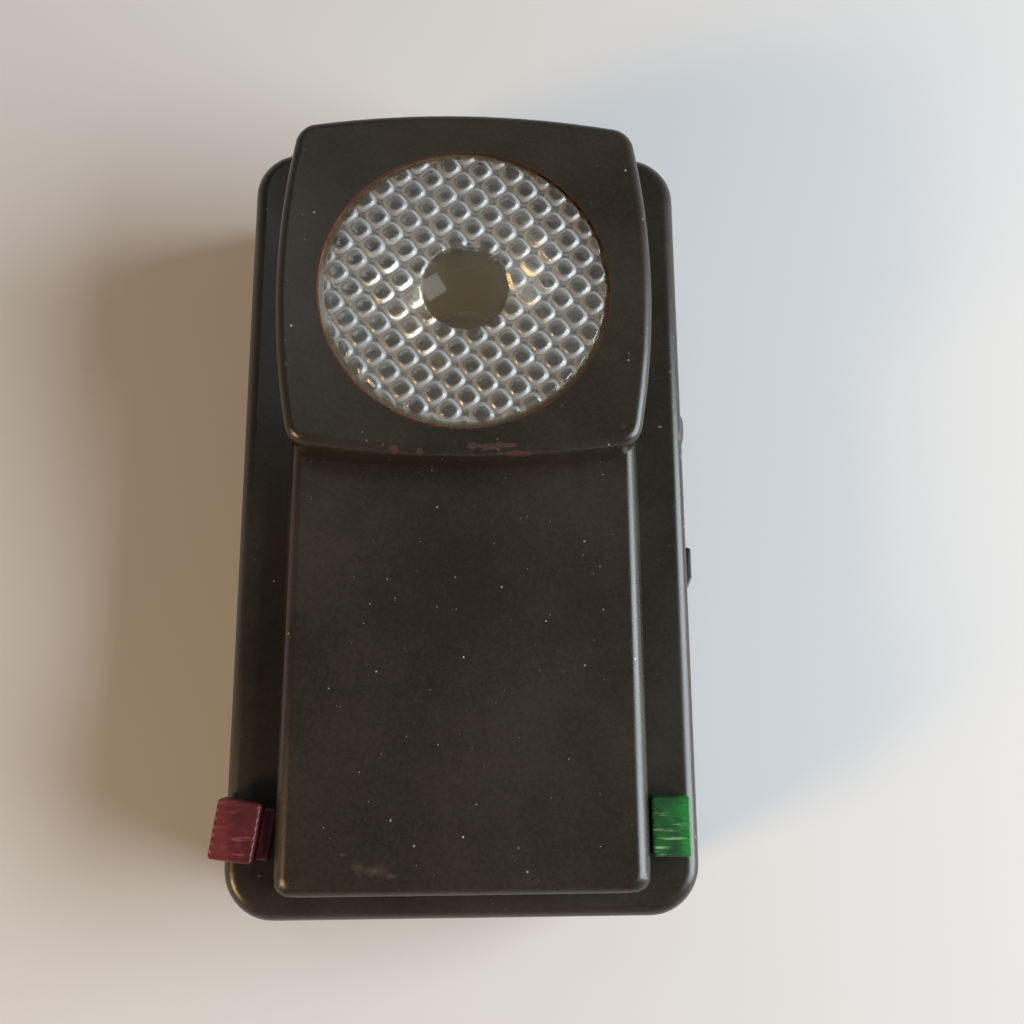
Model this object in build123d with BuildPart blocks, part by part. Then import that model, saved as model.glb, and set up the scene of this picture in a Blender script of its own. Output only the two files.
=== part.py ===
from build123d import *
import os

# Pocket signal lamp for a flat 4.5 V battery, lying on its back.
# +X runs across the lamp, +Y towards the head and +Z out of the front.
# The origin is the middle of the back face. All sizes are in millimetres.

# Battery: the flat 4.5 V battery that the whole lamp is built around
battery_width = 61.0
battery_length = 63.0
battery_thickness = 22.0
battery_corner = 9.0
battery_bevel = 1.2  # along the jacket's lower edge
battery_foot = 2.2  # foot edge of the case to the battery
battery_side_room = 2.4  # battery to the side walls, where the switch runs
battery_back_room = 1.8  # battery to the rear cover, where its spring sits
strip_width = 6.5
strip_thickness = 0.3
strip_spacing = 24.0  # between the middles of the two battery strips
strip_rise = 2.2  # battery to the insulating bridge
strip_foot = 6.0  # how far below its rivet a strip leaves the battery
strip_bend = 2.0
long_strip_end = 6.0  # how far a strip reaches past its rivet
short_strip_end = 3.0

# Lens, seated behind the bezel on a cork ring and a pressed cup
opening_radius = 21.05
lens_overlap = 1.3  # lens beyond the opening, all round
port_margin = 0.5  # port in the panel beyond the opening
lens_thickness = 2.3
lens_rim = 0.9  # plain rim between the opening and the pattern
relief_height = 0.5
groove_depth = 0.4
groove_pitch = 3.29
groove_turn = 38.25  # degrees from the lamp's width to the first set of grooves
groove_width = 2.7
bullseye_radius = 6.4
cork_width = 0.9
cork_thickness = 0.5
cup_sheet = 0.5

# Reflector, bulb and socket
reflector_depth = 14.5
reflector_bands = 4  # steps in which the bowl is turned
reflector_sheet = 0.4
reflector_flange = 1.9
reflector_gap = 0.2  # reflector's flange to the battery
neck_length = 3.0
bulb_base_radius = 4.8
bulb_base_length = 9.0
bulb_glass_radius = 5.0
bulb_glass_steps = (-15, 20, 55)  # degrees round the ball
bulb_neck_radius = 3.4
bulb_neck_sink = 0.8  # how deep the glass dips behind its base's edge
bulb_tip_radius = 1.7
bulb_tip_height = 0.9
socket_gap = 0.1
socket_wall = 0.5
socket_length = 6.0
socket_lift = 1.5  # foot of the bulb's base to the socket

# Head: a square bezel with four bowed sides
head_side_margin = 6.15  # opening to the middle of a side
head_end_margin = 5.45
head_offset = 1.25  # lamp's axis to the middle of the bezel
side_bow = 122.0  # radius of the left and right sides
end_bow = 140.0  # radius of the upper and lower sides
head_corner = 3.6
head_rise = 12.0  # flange to the bezel's face
head_round = 1.6

# Case: a deep front shell and a shallow rear cover, both pressed from sheet steel
sheet = 0.6
corner_radius = 7.2
edge_round = 2.2  # front and back edges of the case
head_end_gap = 0.7  # bezel to the upper end of the case
cover_depth = 6.0  # height of the parting line above the back face
parting_gap = 0.3
lip_height = 1.5  # how far the cover's lip reaches into the shell
lip_thickness = 0.5
lip_gap = 0.3
bead_depth = 0.4  # pressed bead that stiffens the cover's back
bead_width = 2.4
bead_inset = 9.0
bead_corner = 5.0
notch_radius = 5.0  # thumbnail notch above the cover's lip

# Raised panel on the front, which houses the colour filters
panel_side_margin = 3.75  # opening to the side of the panel
panel_height = 4.8
panel_corner = 2.4
panel_top_corner = 4.0
panel_round = 1.3
panel_foot = 4.4  # foot edge of the case to the panel
panel_head_gap = 4.1  # panel's upper end to the end of the bezel that hides it

# Filters: two tinted blades that slide up behind the lens
blade_peek = 4.2  # how far a stored blade already reaches into the opening
blade_margin = 1.1  # raised blade beyond the opening's upper edge
blade_foot_margin = 1.8  # raised blade beyond the opening's lower edge
blade_thickness = 1.0
blade_corner = 3.0
blade_side_gap = 0.5
tail_width = 14.0  # strip that joins the blade to its thumb tab
arm_lift = 0.9  # flange to the underside of the arm
slot_gap = 0.35
running_gap = 0.3
deck_thickness = 0.5
divider_thickness = 0.3
tab_width = 6.0
tab_length = 8.0
tab_height = 3.2
tab_round = 0.5
tab_gap = 0.35  # flange to the underside of a tab
tab_y = 12.6  # foot edge of the case to the middle of a stored tab
tab_offset = 3.8  # side of the panel to the middle of the green tab
arm_grip = 3.0  # how deep the arm is set into its tab
red_tab_skew = -8.3  # the red tab sits askew on its arm
red_tab_shift = 2.55  # and pulled outwards
red_step_width = 2.1  # low step on the red tab's inner side
red_step_height = 1.75
rib_pitch = 1.1
rib_width = 0.3
rib_depth = 0.15

# Contacts on the insulating bridge
bridge_thickness = 1.2
bridge_side_room = 2.4  # bridge to the wall, where the wiper passes
bridge_relief = 2.2  # below the reflector's flange
rivet_radius = 1.0
rivet_head = 2.2
rivet_head_height = 0.4
side_contact_inset = 4.8  # wall to the contact that the key's spring meets

# Switch slide and morse key on the right-hand wall
switch_z = 14.5
slide_y = 49.75  # foot edge of the case to the slide's knob
slide_travel = 6.0
slide_knob_length = 7.1
slide_knob_width = 9.0
slide_knob_round = 0.5
slide_ramp = 2.4  # length of the knob's sloping end
knob_rise = 1.55
knob_low_rise = 0.5
slide_neck_length = 5.0
slide_neck_width = 3.4
slide_plate_length = 18.0
slide_plate_thickness = 0.7
wiper_end_gap = 0.5  # wiper at full travel to the key's flange
wiper_width = 5.0
key_y = 73.35  # foot edge of the case to the morse key
key_radius = 3.3
key_rise = 1.95
key_bevel = 0.8
key_travel = 1.5
key_flange = 0.9
key_flange_width = 1.0
key_boss_radius = 1.0
key_boss_height = 0.8  # boss behind the key that meets the spring
key_spring_reach = 11.8  # key's axis to the spring's root
key_spring_tip = 3.4  # spring beyond the key's axis
spring_root_radius = 0.5
bracket_foot = 6.0
bracket_block = 1.0
side_gap = 0.3

# Rear cover's hinge along the foot, and its battery spring
knuckle_radius = 1.2
hinge_pin_radius = 0.6
hinge_play = 0.05
hinge_length = 40.0
hinge_middle = 15.4
leaf_thickness = 0.5
leaf_height = 3.5
cover_spring_length = 34.0
cover_spring_width = 9.0

# Places and sizes that follow from the ones above
lens_y = battery_foot + battery_length + reflector_gap + reflector_flange + opening_radius
head_y = lens_y + head_offset
head_half_width = opening_radius + head_side_margin
head_half_length = opening_radius + head_end_margin
case_width = battery_width + 2 * (battery_side_room + sheet)
case_length = head_y + head_half_length + head_end_gap
case_depth = sheet + battery_back_room + battery_thickness + deck_thickness + sheet
foot = -case_length / 2
half_width = case_width / 2
wall_x = half_width - sheet
lamp_y = foot + lens_y
panel_width = 2 * (opening_radius + panel_side_margin)
panel_top = head_y + head_half_length - panel_head_gap
panel_middle = foot + (panel_foot + panel_top) / 2
panel_length = panel_top - panel_foot
panel_face = case_depth + panel_height
deck_top = case_depth - sheet
deck_bottom = deck_top - deck_thickness
bezel_face = case_depth + head_rise
bezel_root = case_depth - edge_round  # before it is scribed to the shell
lens_face = bezel_face - sheet
lens_back = lens_face - lens_thickness
lens_radius = opening_radius + lens_overlap
port_radius = opening_radius + port_margin
blade_top = lens_y - opening_radius + blade_peek
blade_length = 2 * opening_radius + blade_margin + blade_foot_margin
filter_travel = 2 * opening_radius - blade_peek + blade_margin
blade_edge = panel_width / 2 - sheet - blade_side_gap
blade_foot = foot + blade_top - blade_length
arm_bottom = case_depth + arm_lift
divider_bottom = arm_bottom + blade_thickness + running_gap
green_bottom = divider_bottom + divider_thickness + running_gap
jog_edge = blade_edge - blade_thickness
red_edge = jog_edge - 2 * running_gap
tab_reach = panel_width / 2 + tab_offset
tab_low = foot + tab_y - tab_length / 2
arm_end = tab_reach - tab_width / 2 + arm_grip
battery_top = foot + battery_foot + battery_length
battery_back = deck_bottom - battery_thickness
battery_middle = foot + battery_foot + battery_length / 2
strip_z = battery_back + battery_thickness / 2
bridge_y = battery_top + strip_rise
bridge_back = bridge_y + bridge_thickness
plate_x = wall_x - side_gap - slide_plate_thickness
key_in = wall_x - side_gap - key_flange
wiper_length = key_y - key_radius - key_flange_width - wiper_end_gap - slide_travel - slide_y
key_spring_x = key_in - key_boss_height - side_gap - strip_thickness
hinge_y = foot - knuckle_radius - parting_gap
hinge_z = cover_depth

os.makedirs("parts", exist_ok=True)

# ---------------------------------------------------------------- case

# Outer form of the front shell: the deep body with the raised panel on it
with BuildPart() as shell_form:
    with BuildSketch(Plane.XY.offset(cover_depth)):
        RectangleRounded(case_width, case_length, corner_radius)
    extrude(amount=case_depth - cover_depth)
    fillet(shell_form.faces().sort_by(Axis.Z)[-1].edges(), radius=edge_round)
    with BuildSketch(Plane.XY.offset(case_depth)) as panel_outline:
        with Locations((0, panel_middle)):
            Rectangle(panel_width, panel_length)
        fillet(panel_outline.vertices().group_by(Axis.Y)[0], radius=panel_corner)
        fillet(panel_outline.vertices().group_by(Axis.Y)[-1], radius=panel_top_corner)
    extrude(amount=panel_height)
    fillet(shell_form.faces().sort_by(Axis.Z)[-1].edges(), radius=panel_round)

# The space inside the sheet, one thickness in from the outer form
with BuildPart() as shell_space:
    with BuildSketch(Plane.XY.offset(cover_depth)):
        RectangleRounded(case_width - 2 * sheet, case_length - 2 * sheet, corner_radius - sheet)
    extrude(amount=case_depth - sheet - cover_depth)
    fillet(shell_space.faces().sort_by(Axis.Z)[-1].edges(), radius=edge_round - sheet)
    with BuildSketch(Plane.XY.offset(deck_top)) as panel_inside:
        with Locations((0, panel_middle)):
            Rectangle(panel_width - 2 * sheet, panel_length - 2 * sheet)
        fillet(panel_inside.vertices().group_by(Axis.Y)[0], radius=panel_corner - sheet)
        fillet(panel_inside.vertices().group_by(Axis.Y)[-1], radius=panel_top_corner - sheet)
    extrude(amount=panel_height)

# Front shell: pressed sheet with the lamp's port, the filter slots and the switch openings
with BuildPart() as front_shell:
    add(shell_form.part)
    add(shell_space.part, mode=Mode.SUBTRACT)
    with BuildSketch(Plane.XY.offset(deck_top)):
        with Locations((0, lamp_y)):
            Circle(port_radius)
    extrude(amount=panel_height + 2 * sheet, mode=Mode.SUBTRACT)
    # One long slot in each side of the panel, low down, for the arm of a filter
    for wall in (-1, 1):
        with BuildSketch(Plane.YZ.offset(wall * (panel_width / 2 - sheet / 2))):
            with Locations((foot + tab_y + filter_travel / 2, arm_bottom + blade_thickness / 2)):
                Rectangle(tab_length + filter_travel + 2 * slot_gap, blade_thickness + 2 * slot_gap)
        extrude(amount=sheet, both=True, mode=Mode.SUBTRACT)
    # Slot for the neck of the switch slide and a round hole for the morse key
    with BuildSketch(Plane.YZ.offset(half_width - sheet / 2)):
        with Locations((foot + slide_y + slide_travel / 2, switch_z)):
            Rectangle(slide_neck_length + slide_travel + 2 * side_gap, slide_neck_width + 2 * side_gap)
        with Locations((foot + key_y, switch_z)):
            Circle(key_radius + side_gap)
    extrude(amount=sheet, both=True, mode=Mode.SUBTRACT)
    # Thumbnail notch in the upper end, where the cover is pulled open
    with BuildSketch(Plane.XZ.offset(-case_length / 2)):
        with Locations((0, cover_depth)):
            Circle(notch_radius)
    extrude(amount=2 * sheet, both=True, mode=Mode.SUBTRACT)
    # Outer knuckles of the hinge, each rolled from a leaf on the foot wall
    for side in (-1, 1):
        with BuildSketch(Plane.YZ.offset(side * (hinge_length + hinge_middle + 2 * parting_gap) / 4)):
            with Locations((hinge_y, hinge_z)):
                Circle(knuckle_radius)
            with Locations(((hinge_y + foot) / 2, hinge_z + knuckle_radius - leaf_thickness / 2)):
                Rectangle(foot - hinge_y, leaf_thickness)
            with Locations((foot - leaf_thickness / 2, hinge_z + knuckle_radius + leaf_height / 2)):
                Rectangle(leaf_thickness, leaf_height + leaf_thickness)
            with Locations((hinge_y, hinge_z)):
                Circle(hinge_pin_radius + hinge_play, mode=Mode.SUBTRACT)
        extrude(amount=(hinge_length - hinge_middle - 2 * parting_gap) / 4, both=True)
front_shell.part.label = "front_shell"
export_step(front_shell.part, "parts/front_shell.step")

# Rear cover: a shallow tray whose lip slides inside the front shell
with BuildPart() as rear_cover:
    with BuildSketch():
        RectangleRounded(case_width, case_length, corner_radius)
    extrude(amount=cover_depth - parting_gap)
    fillet(rear_cover.faces().sort_by(Axis.Z)[0].edges(), radius=edge_round)
    with BuildSketch(Plane.XY.offset(cover_depth - parting_gap)):
        inset = sheet + lip_gap
        RectangleRounded(case_width - 2 * inset, case_length - 2 * inset, corner_radius - inset)
    extrude(amount=lip_height + parting_gap)
    # Hollow inside the tray and its lip
    with BuildSketch(Plane.XY.offset(sheet)):
        inner = sheet + lip_gap + lip_thickness
        RectangleRounded(case_width - 2 * inner, case_length - 2 * inner, corner_radius - inner)
    extrude(amount=cover_depth + lip_height, mode=Mode.SUBTRACT)
    # Stiffening bead, pressed inwards all round the back: the ridge inside, then the groove
    outer_bead = bead_inset - sheet
    inner_bead = bead_inset + bead_width + sheet
    with BuildSketch(Plane.XY.offset(sheet)):
        RectangleRounded(case_width - 2 * outer_bead, case_length - 2 * outer_bead, bead_corner + sheet)
        RectangleRounded(
            case_width - 2 * inner_bead,
            case_length - 2 * inner_bead,
            bead_corner - bead_width - sheet,
            mode=Mode.SUBTRACT,
        )
    extrude(amount=bead_depth)
    with BuildSketch():
        RectangleRounded(case_width - 2 * bead_inset, case_length - 2 * bead_inset, bead_corner)
        RectangleRounded(
            case_width - 2 * (bead_inset + bead_width),
            case_length - 2 * (bead_inset + bead_width),
            bead_corner - bead_width,
            mode=Mode.SUBTRACT,
        )
    extrude(amount=bead_depth, mode=Mode.SUBTRACT)
    # Middle knuckle of the hinge
    with BuildSketch(Plane.YZ):
        with Locations((hinge_y, hinge_z)):
            Circle(knuckle_radius)
        with Locations(((hinge_y + foot) / 2, hinge_z - knuckle_radius + leaf_thickness / 2)):
            Rectangle(foot - hinge_y, leaf_thickness)
        with Locations((foot - leaf_thickness / 2, hinge_z - knuckle_radius - leaf_height / 2 + leaf_thickness)):
            Rectangle(leaf_thickness, leaf_height)
        with Locations((hinge_y, hinge_z)):
            Circle(hinge_pin_radius + hinge_play, mode=Mode.SUBTRACT)
    extrude(amount=hinge_middle / 2, both=True)
rear_cover.part.label = "rear_cover"
export_step(rear_cover.part, "parts/rear_cover.step")

# Hinge pin through all three knuckles
with BuildPart() as hinge_pin:
    with BuildSketch(Plane.YZ):
        with Locations((hinge_y, hinge_z)):
            Circle(hinge_pin_radius)
    extrude(amount=hinge_length / 2, both=True)
hinge_pin.part.label = "hinge_pin"
export_step(hinge_pin.part, "parts/hinge_pin.step")

# Bowed leaf spring in the cover that presses on the battery
with BuildPart() as cover_spring:
    with BuildSketch(Plane.YZ):
        with BuildLine():
            start = (battery_middle - cover_spring_length / 2, sheet)
            crown = (battery_middle, sheet + battery_back_room - side_gap - strip_thickness)
            end = (battery_middle + cover_spring_length / 2, sheet)
            lower = ThreePointArc(start, crown, end)
            Line(lower @ 1, (end[0], end[1] + strip_thickness))
            ThreePointArc(
                (end[0], end[1] + strip_thickness),
                (crown[0], crown[1] + strip_thickness),
                (start[0], start[1] + strip_thickness),
            )
            Line((start[0], start[1] + strip_thickness), start)
        make_face()
    extrude(amount=cover_spring_width / 2, both=True)
cover_spring.part.label = "cover_spring"
export_step(cover_spring.part, "parts/cover_spring.step")

# ---------------------------------------------------------------- head

# Bezel: a pressed cap with bowed sides, scribed to the flange and the panel it stands on
with BuildPart() as head_bezel:
    with BuildSketch(Plane.XY.offset(bezel_root)) as bezel_outline:
        with Locations((0, foot + head_y)):
            with Locations((head_half_width - side_bow, 0)):
                Circle(side_bow)
            with Locations((side_bow - head_half_width, 0)):
                Circle(side_bow, mode=Mode.INTERSECT)
            with Locations((0, head_half_length - end_bow)):
                Circle(end_bow, mode=Mode.INTERSECT)
            with Locations((0, end_bow - head_half_length)):
                Circle(end_bow, mode=Mode.INTERSECT)
        fillet(bezel_outline.vertices(), radius=head_corner)
    extrude(amount=bezel_face - bezel_root)
    fillet(head_bezel.faces().sort_by(Axis.Z)[-1].edges(), radius=head_round)
    # Hollow inside, one thickness in from the outline
    with BuildSketch(Plane.XY.offset(bezel_root)) as bezel_hollow:
        with Locations((0, foot + head_y)):
            with Locations((head_half_width - side_bow, 0)):
                Circle(side_bow - sheet)
            with Locations((side_bow - head_half_width, 0)):
                Circle(side_bow - sheet, mode=Mode.INTERSECT)
            with Locations((0, head_half_length - end_bow)):
                Circle(end_bow - sheet, mode=Mode.INTERSECT)
            with Locations((0, end_bow - head_half_length)):
                Circle(end_bow - sheet, mode=Mode.INTERSECT)
        fillet(bezel_hollow.vertices(), radius=head_corner - sheet)
    extrude(amount=lens_face - bezel_root, mode=Mode.SUBTRACT)
    add(shell_form.part, mode=Mode.SUBTRACT)
    with BuildSketch(Plane.XY.offset(bezel_face)):
        with Locations((0, lamp_y)):
            Circle(opening_radius)
    extrude(amount=-2 * sheet, mode=Mode.SUBTRACT)
head_bezel.part.label = "head_bezel"
export_step(head_bezel.part, "parts/head_bezel.step")

# Lens: a moulded disc whose raised face is cut by two sets of crossing V grooves
with BuildPart() as lens:
    with BuildSketch(Plane.XY.offset(lens_back)):
        with Locations((0, lamp_y)):
            Circle(lens_radius)
    extrude(amount=lens_thickness)
    with BuildSketch(Plane.XY.offset(lens_face)):
        with Locations((0, lamp_y)):
            Circle(opening_radius - lens_rim)
    extrude(amount=relief_height)
    grooves = int(opening_radius / groove_pitch)
    for turn in (groove_turn, groove_turn + 90):
        groove_plane = Plane(
            (0, lamp_y, lens_face + relief_height),
            x_dir=Vector(0, 1, 0).rotate(Axis.Z, turn),
            z_dir=Vector(1, 0, 0).rotate(Axis.Z, turn),
        )
        with BuildSketch(groove_plane):
            with GridLocations(groove_pitch, groove_pitch, 2 * grooves, 1):
                Polygon((-groove_width / 2, 0), (groove_width / 2, 0), (0, -groove_depth), align=None)
        extrude(amount=opening_radius, both=True, mode=Mode.SUBTRACT)
    # Smooth bullseye in the middle, slightly domed
    with BuildSketch(Plane.XY.offset(lens_face)):
        with Locations((0, lamp_y)):
            Circle(bullseye_radius)
    extrude(amount=relief_height, mode=Mode.SUBTRACT)
    with BuildSketch(Plane.XZ.offset(-lamp_y)):
        dome = bullseye_radius - groove_depth
        Polygon(
            (0, lens_face - relief_height),
            (dome, lens_face - relief_height),
            *[(dome * k / 3, lens_face + relief_height * (1 - (k / 3) ** 2)) for k in (3, 2, 1, 0)],
            align=None,
        )
    revolve(axis=Axis((0, lamp_y, 0), (0, 0, 1)))
lens.part.label = "lens"
export_step(lens.part, "parts/lens.step")

# Cork ring behind the lens
with BuildPart() as lens_cork:
    with BuildSketch(Plane.XY.offset(lens_back - cork_thickness)):
        with Locations((0, lamp_y)):
            Circle(lens_radius)
            Circle(lens_radius - cork_width, mode=Mode.SUBTRACT)
    extrude(amount=cork_thickness)
lens_cork.part.label = "lens_cork"
export_step(lens_cork.part, "parts/lens_cork.step")

# Pressed cup that stands on the panel and holds cork and lens against the bezel
with BuildPart() as lens_cup:
    with BuildSketch(Plane.XY.offset(panel_face)):
        with Locations((0, lamp_y)):
            Circle(lens_radius)
            Circle(lens_radius - cup_sheet, mode=Mode.SUBTRACT)
    extrude(amount=lens_back - cork_thickness - panel_face)
    with BuildSketch(Plane.XY.offset(lens_back - cork_thickness - cup_sheet)):
        with Locations((0, lamp_y)):
            Circle(lens_radius)
            Circle(lens_radius - cork_width, mode=Mode.SUBTRACT)
    extrude(amount=cup_sheet)
lens_cup.part.label = "lens_cup"
export_step(lens_cup.part, "parts/lens_cup.step")

# ---------------------------------------------------------------- filters

# Deck under the filters, flush against the back of the front flange
with BuildPart() as filter_deck:
    with BuildSketch(Plane.XY.offset(deck_bottom)):
        with Locations((0, panel_middle)):
            RectangleRounded(panel_width + 4 * sheet, panel_length - 2 * sheet, panel_corner)
        with Locations((0, lamp_y)):
            Circle(port_radius, mode=Mode.SUBTRACT)
    extrude(amount=deck_thickness)
filter_deck.part.label = "filter_deck"
export_step(filter_deck.part, "parts/filter_deck.step")

# Divider that keeps the two blades apart, standing on a leg at each end
with BuildPart() as filter_divider:
    divider_left = -(blade_edge + running_gap / 2)
    divider_right = jog_edge - running_gap
    divider_low = foot + panel_foot + 2 * sheet
    divider_high = foot + panel_top - 2 * sheet
    with BuildSketch(Plane.XY.offset(divider_bottom)) as divider_outline:
        with Locations(((divider_left + divider_right) / 2, (divider_low + divider_high) / 2)):
            Rectangle(divider_right - divider_left, divider_high - divider_low)
        fillet(divider_outline.vertices(), radius=panel_top_corner - sheet)
        with Locations((0, lamp_y)):
            Circle(port_radius, mode=Mode.SUBTRACT)
    extrude(amount=divider_thickness)
    with BuildSketch(Plane.XY.offset(deck_top)):
        for end in (divider_low + divider_thickness / 2, divider_high - divider_thickness / 2):
            with Locations(((divider_left + divider_right) / 2, end)):
                Rectangle(divider_right - divider_left - 2 * panel_top_corner, divider_thickness)
    extrude(amount=divider_bottom - deck_top)
filter_divider.part.label = "filter_divider"
export_step(filter_divider.part, "parts/filter_divider.step")

# Red filter: blade, tail and arm in one flat piece, with its arm out on the left
with BuildPart() as red_filter:
    with BuildSketch(Plane.XY.offset(arm_bottom)) as red_outline:
        with Locations(((red_edge - blade_edge) / 2, blade_foot + blade_length / 2)):
            Rectangle(red_edge + blade_edge, blade_length)
        fillet(red_outline.vertices(), radius=blade_corner)
        with Locations((-blade_edge + tail_width / 2, (tab_low + blade_foot + blade_corner) / 2)):
            Rectangle(tail_width, blade_foot + blade_corner - tab_low)
        with Locations((-(arm_end + red_tab_shift + blade_edge) / 2 - blade_thickness / 2, foot + tab_y)):
            Rectangle(arm_end + red_tab_shift - blade_edge + blade_thickness, tab_length - 2 * slot_gap)
    extrude(amount=blade_thickness)
red_filter.part.label = "red_filter"
export_step(red_filter.part, "parts/red_filter.step")

# Green filter: the upper blade, joggled down so that its arm leaves at the same height
with BuildPart() as green_filter:
    with BuildSketch(Plane.XY.offset(green_bottom)) as green_outline:
        with Locations((0, blade_foot + blade_length / 2)):
            Rectangle(2 * blade_edge, blade_length)
        fillet(green_outline.vertices(), radius=blade_corner)
        with Locations((blade_edge - tail_width / 2, (tab_low + blade_foot + blade_corner) / 2)):
            Rectangle(tail_width, blade_foot + blade_corner - tab_low)
    extrude(amount=blade_thickness)
    with BuildSketch(Plane.XY.offset(arm_bottom)):
        with Locations((blade_edge - blade_thickness / 2, foot + tab_y)):
            Rectangle(blade_thickness, tab_length - 2 * slot_gap)
    extrude(amount=green_bottom - arm_bottom)
    with BuildSketch(Plane.XY.offset(arm_bottom)):
        with Locations(((arm_end + jog_edge) / 2, foot + tab_y)):
            Rectangle(arm_end - jog_edge, tab_length - 2 * slot_gap)
    extrude(amount=blade_thickness)
green_filter.part.label = "green_filter"
export_step(green_filter.part, "parts/green_filter.step")

# Red thumb tab: a ribbed pad, askew on the end of its arm
red_tab_plane = Plane(
    (-(tab_reach + red_tab_shift), foot + tab_y, case_depth + tab_gap),
    x_dir=Vector(1, 0, 0).rotate(Axis.Z, red_tab_skew),
)
with BuildPart() as red_tab:
    with BuildSketch(red_tab_plane):
        Rectangle(tab_width, tab_length)
    extrude(amount=tab_height)
    fillet(red_tab.edges().filter_by(Axis.Z), radius=tab_round)
    with BuildSketch(red_tab_plane):
        with Locations(((tab_width + red_step_width) / 2, 0)):
            Rectangle(red_step_width, tab_length - 2 * tab_round)
    extrude(amount=red_step_height)
    with BuildSketch(red_tab_plane.offset(tab_height)):
        with GridLocations(tab_width, rib_pitch, 1, int(tab_length / rib_pitch) - 1):
            Rectangle(2 * tab_width, rib_width)
    extrude(amount=-rib_depth, mode=Mode.SUBTRACT)
    add(red_filter.part, mode=Mode.SUBTRACT)
red_tab.part.label = "red_tab"
export_step(red_tab.part, "parts/red_tab.step")

# Green thumb tab
with BuildPart() as green_tab:
    with BuildSketch(Plane.XY.offset(case_depth + tab_gap)):
        with Locations((tab_reach, foot + tab_y)):
            Rectangle(tab_width, tab_length)
    extrude(amount=tab_height)
    fillet(green_tab.edges().filter_by(Axis.Z), radius=tab_round)
    with BuildSketch(Plane.XY.offset(case_depth + tab_gap + tab_height)):
        with Locations((tab_reach, foot + tab_y)):
            with GridLocations(tab_width, rib_pitch, 1, int(tab_length / rib_pitch) - 1):
                Rectangle(2 * tab_width, rib_width)
    extrude(amount=-rib_depth, mode=Mode.SUBTRACT)
    add(green_filter.part, mode=Mode.SUBTRACT)
green_tab.part.label = "green_tab"
export_step(green_tab.part, "parts/green_tab.step")

# ---------------------------------------------------------------- lamp

# Reflector: a spun paraboloid with a flat rim flange and a neck around the bulb
reflector_rim = opening_radius
focus = reflector_rim**2 / (4 * reflector_depth)
vertex_z = deck_bottom - reflector_depth
neck_radius = bulb_base_radius + socket_gap + socket_wall
neck_z = vertex_z + neck_radius**2 / (4 * focus)
bowl_steps = [neck_radius + (reflector_rim - neck_radius) * k / reflector_bands for k in range(reflector_bands + 1)]
bowl = [(r, vertex_z + r**2 / (4 * focus)) for r in bowl_steps]
bowl_back = [(r + reflector_sheet / 2, z - reflector_sheet) for r, z in bowl[::-2]]
with BuildPart() as reflector:
    with BuildSketch(Plane.XZ.offset(-lamp_y)):
        Polygon(
            *bowl,
            (reflector_rim + reflector_flange, deck_bottom),
            (reflector_rim + reflector_flange, deck_bottom - reflector_sheet),
            *bowl_back[:-1],
            (neck_radius + reflector_sheet, neck_z - reflector_sheet),
            (neck_radius + reflector_sheet, neck_z - neck_length),
            (neck_radius, neck_z - neck_length),
            align=None,
        )
    revolve(axis=Axis((0, lamp_y, 0), (0, 0, 1)))
reflector.part.label = "reflector"
export_step(reflector.part, "parts/reflector.step")

# Bulb: screw base, tip contact, glass envelope and filament, and the socket it sits in
filament_z = vertex_z + focus
base_top = filament_z - bulb_glass_radius + bulb_neck_sink
with BuildPart() as bulb_base:
    with BuildSketch(Plane.XY.offset(base_top - bulb_base_length)):
        with Locations((0, lamp_y)):
            Circle(bulb_base_radius)
    extrude(amount=bulb_base_length)
bulb_base.part.label = "bulb_base"
export_step(bulb_base.part, "parts/bulb_base.step")

with BuildPart() as bulb_tip:
    with BuildSketch(Plane.XY.offset(base_top - bulb_base_length - bulb_tip_height)):
        with Locations((0, lamp_y)):
            Circle(bulb_tip_radius)
    extrude(amount=bulb_tip_height)
bulb_tip.part.label = "bulb_tip"
export_step(bulb_tip.part, "parts/bulb_tip.step")

with BuildPart() as bulb_glass:
    with BuildSketch(Plane.XZ.offset(-lamp_y)):
        ball = [Vector(bulb_glass_radius, 0).rotate(Axis.Z, angle) for angle in bulb_glass_steps]
        Polygon(
            (0, base_top),
            (bulb_neck_radius, base_top),
            (bulb_neck_radius, filament_z - (bulb_glass_radius**2 - bulb_neck_radius**2) ** 0.5),
            *[(point.X, filament_z + point.Y) for point in ball],
            (0, filament_z + bulb_glass_radius),
            align=None,
        )
    revolve(axis=Axis((0, lamp_y, 0), (0, 0, 1)))
bulb_glass.part.label = "bulb_glass"
export_step(bulb_glass.part, "parts/bulb_glass.step")

with BuildPart() as bulb_socket:
    with BuildSketch(Plane.XY.offset(base_top - bulb_base_length + socket_lift)):
        with Locations((0, lamp_y)):
            Circle(bulb_base_radius + socket_gap + socket_wall)
            Circle(bulb_base_radius + socket_gap, mode=Mode.SUBTRACT)
    extrude(amount=socket_length)
bulb_socket.part.label = "bulb_socket"
export_step(bulb_socket.part, "parts/bulb_socket.step")

# ---------------------------------------------------------------- battery and contacts

# Battery: three cells side by side in a jacket, standing upright behind the panel
with BuildPart() as battery:
    with BuildSketch(Plane.XZ.offset(-(foot + battery_foot))):
        with Locations((0, battery_back + battery_thickness / 2)):
            RectangleRounded(battery_width, battery_thickness, battery_corner)
    extrude(amount=-battery_length)
    chamfer(battery.faces().sort_by(Axis.Y)[0].edges(), length=battery_bevel)
battery.part.label = "battery"
export_step(battery.part, "parts/battery.step")

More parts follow.
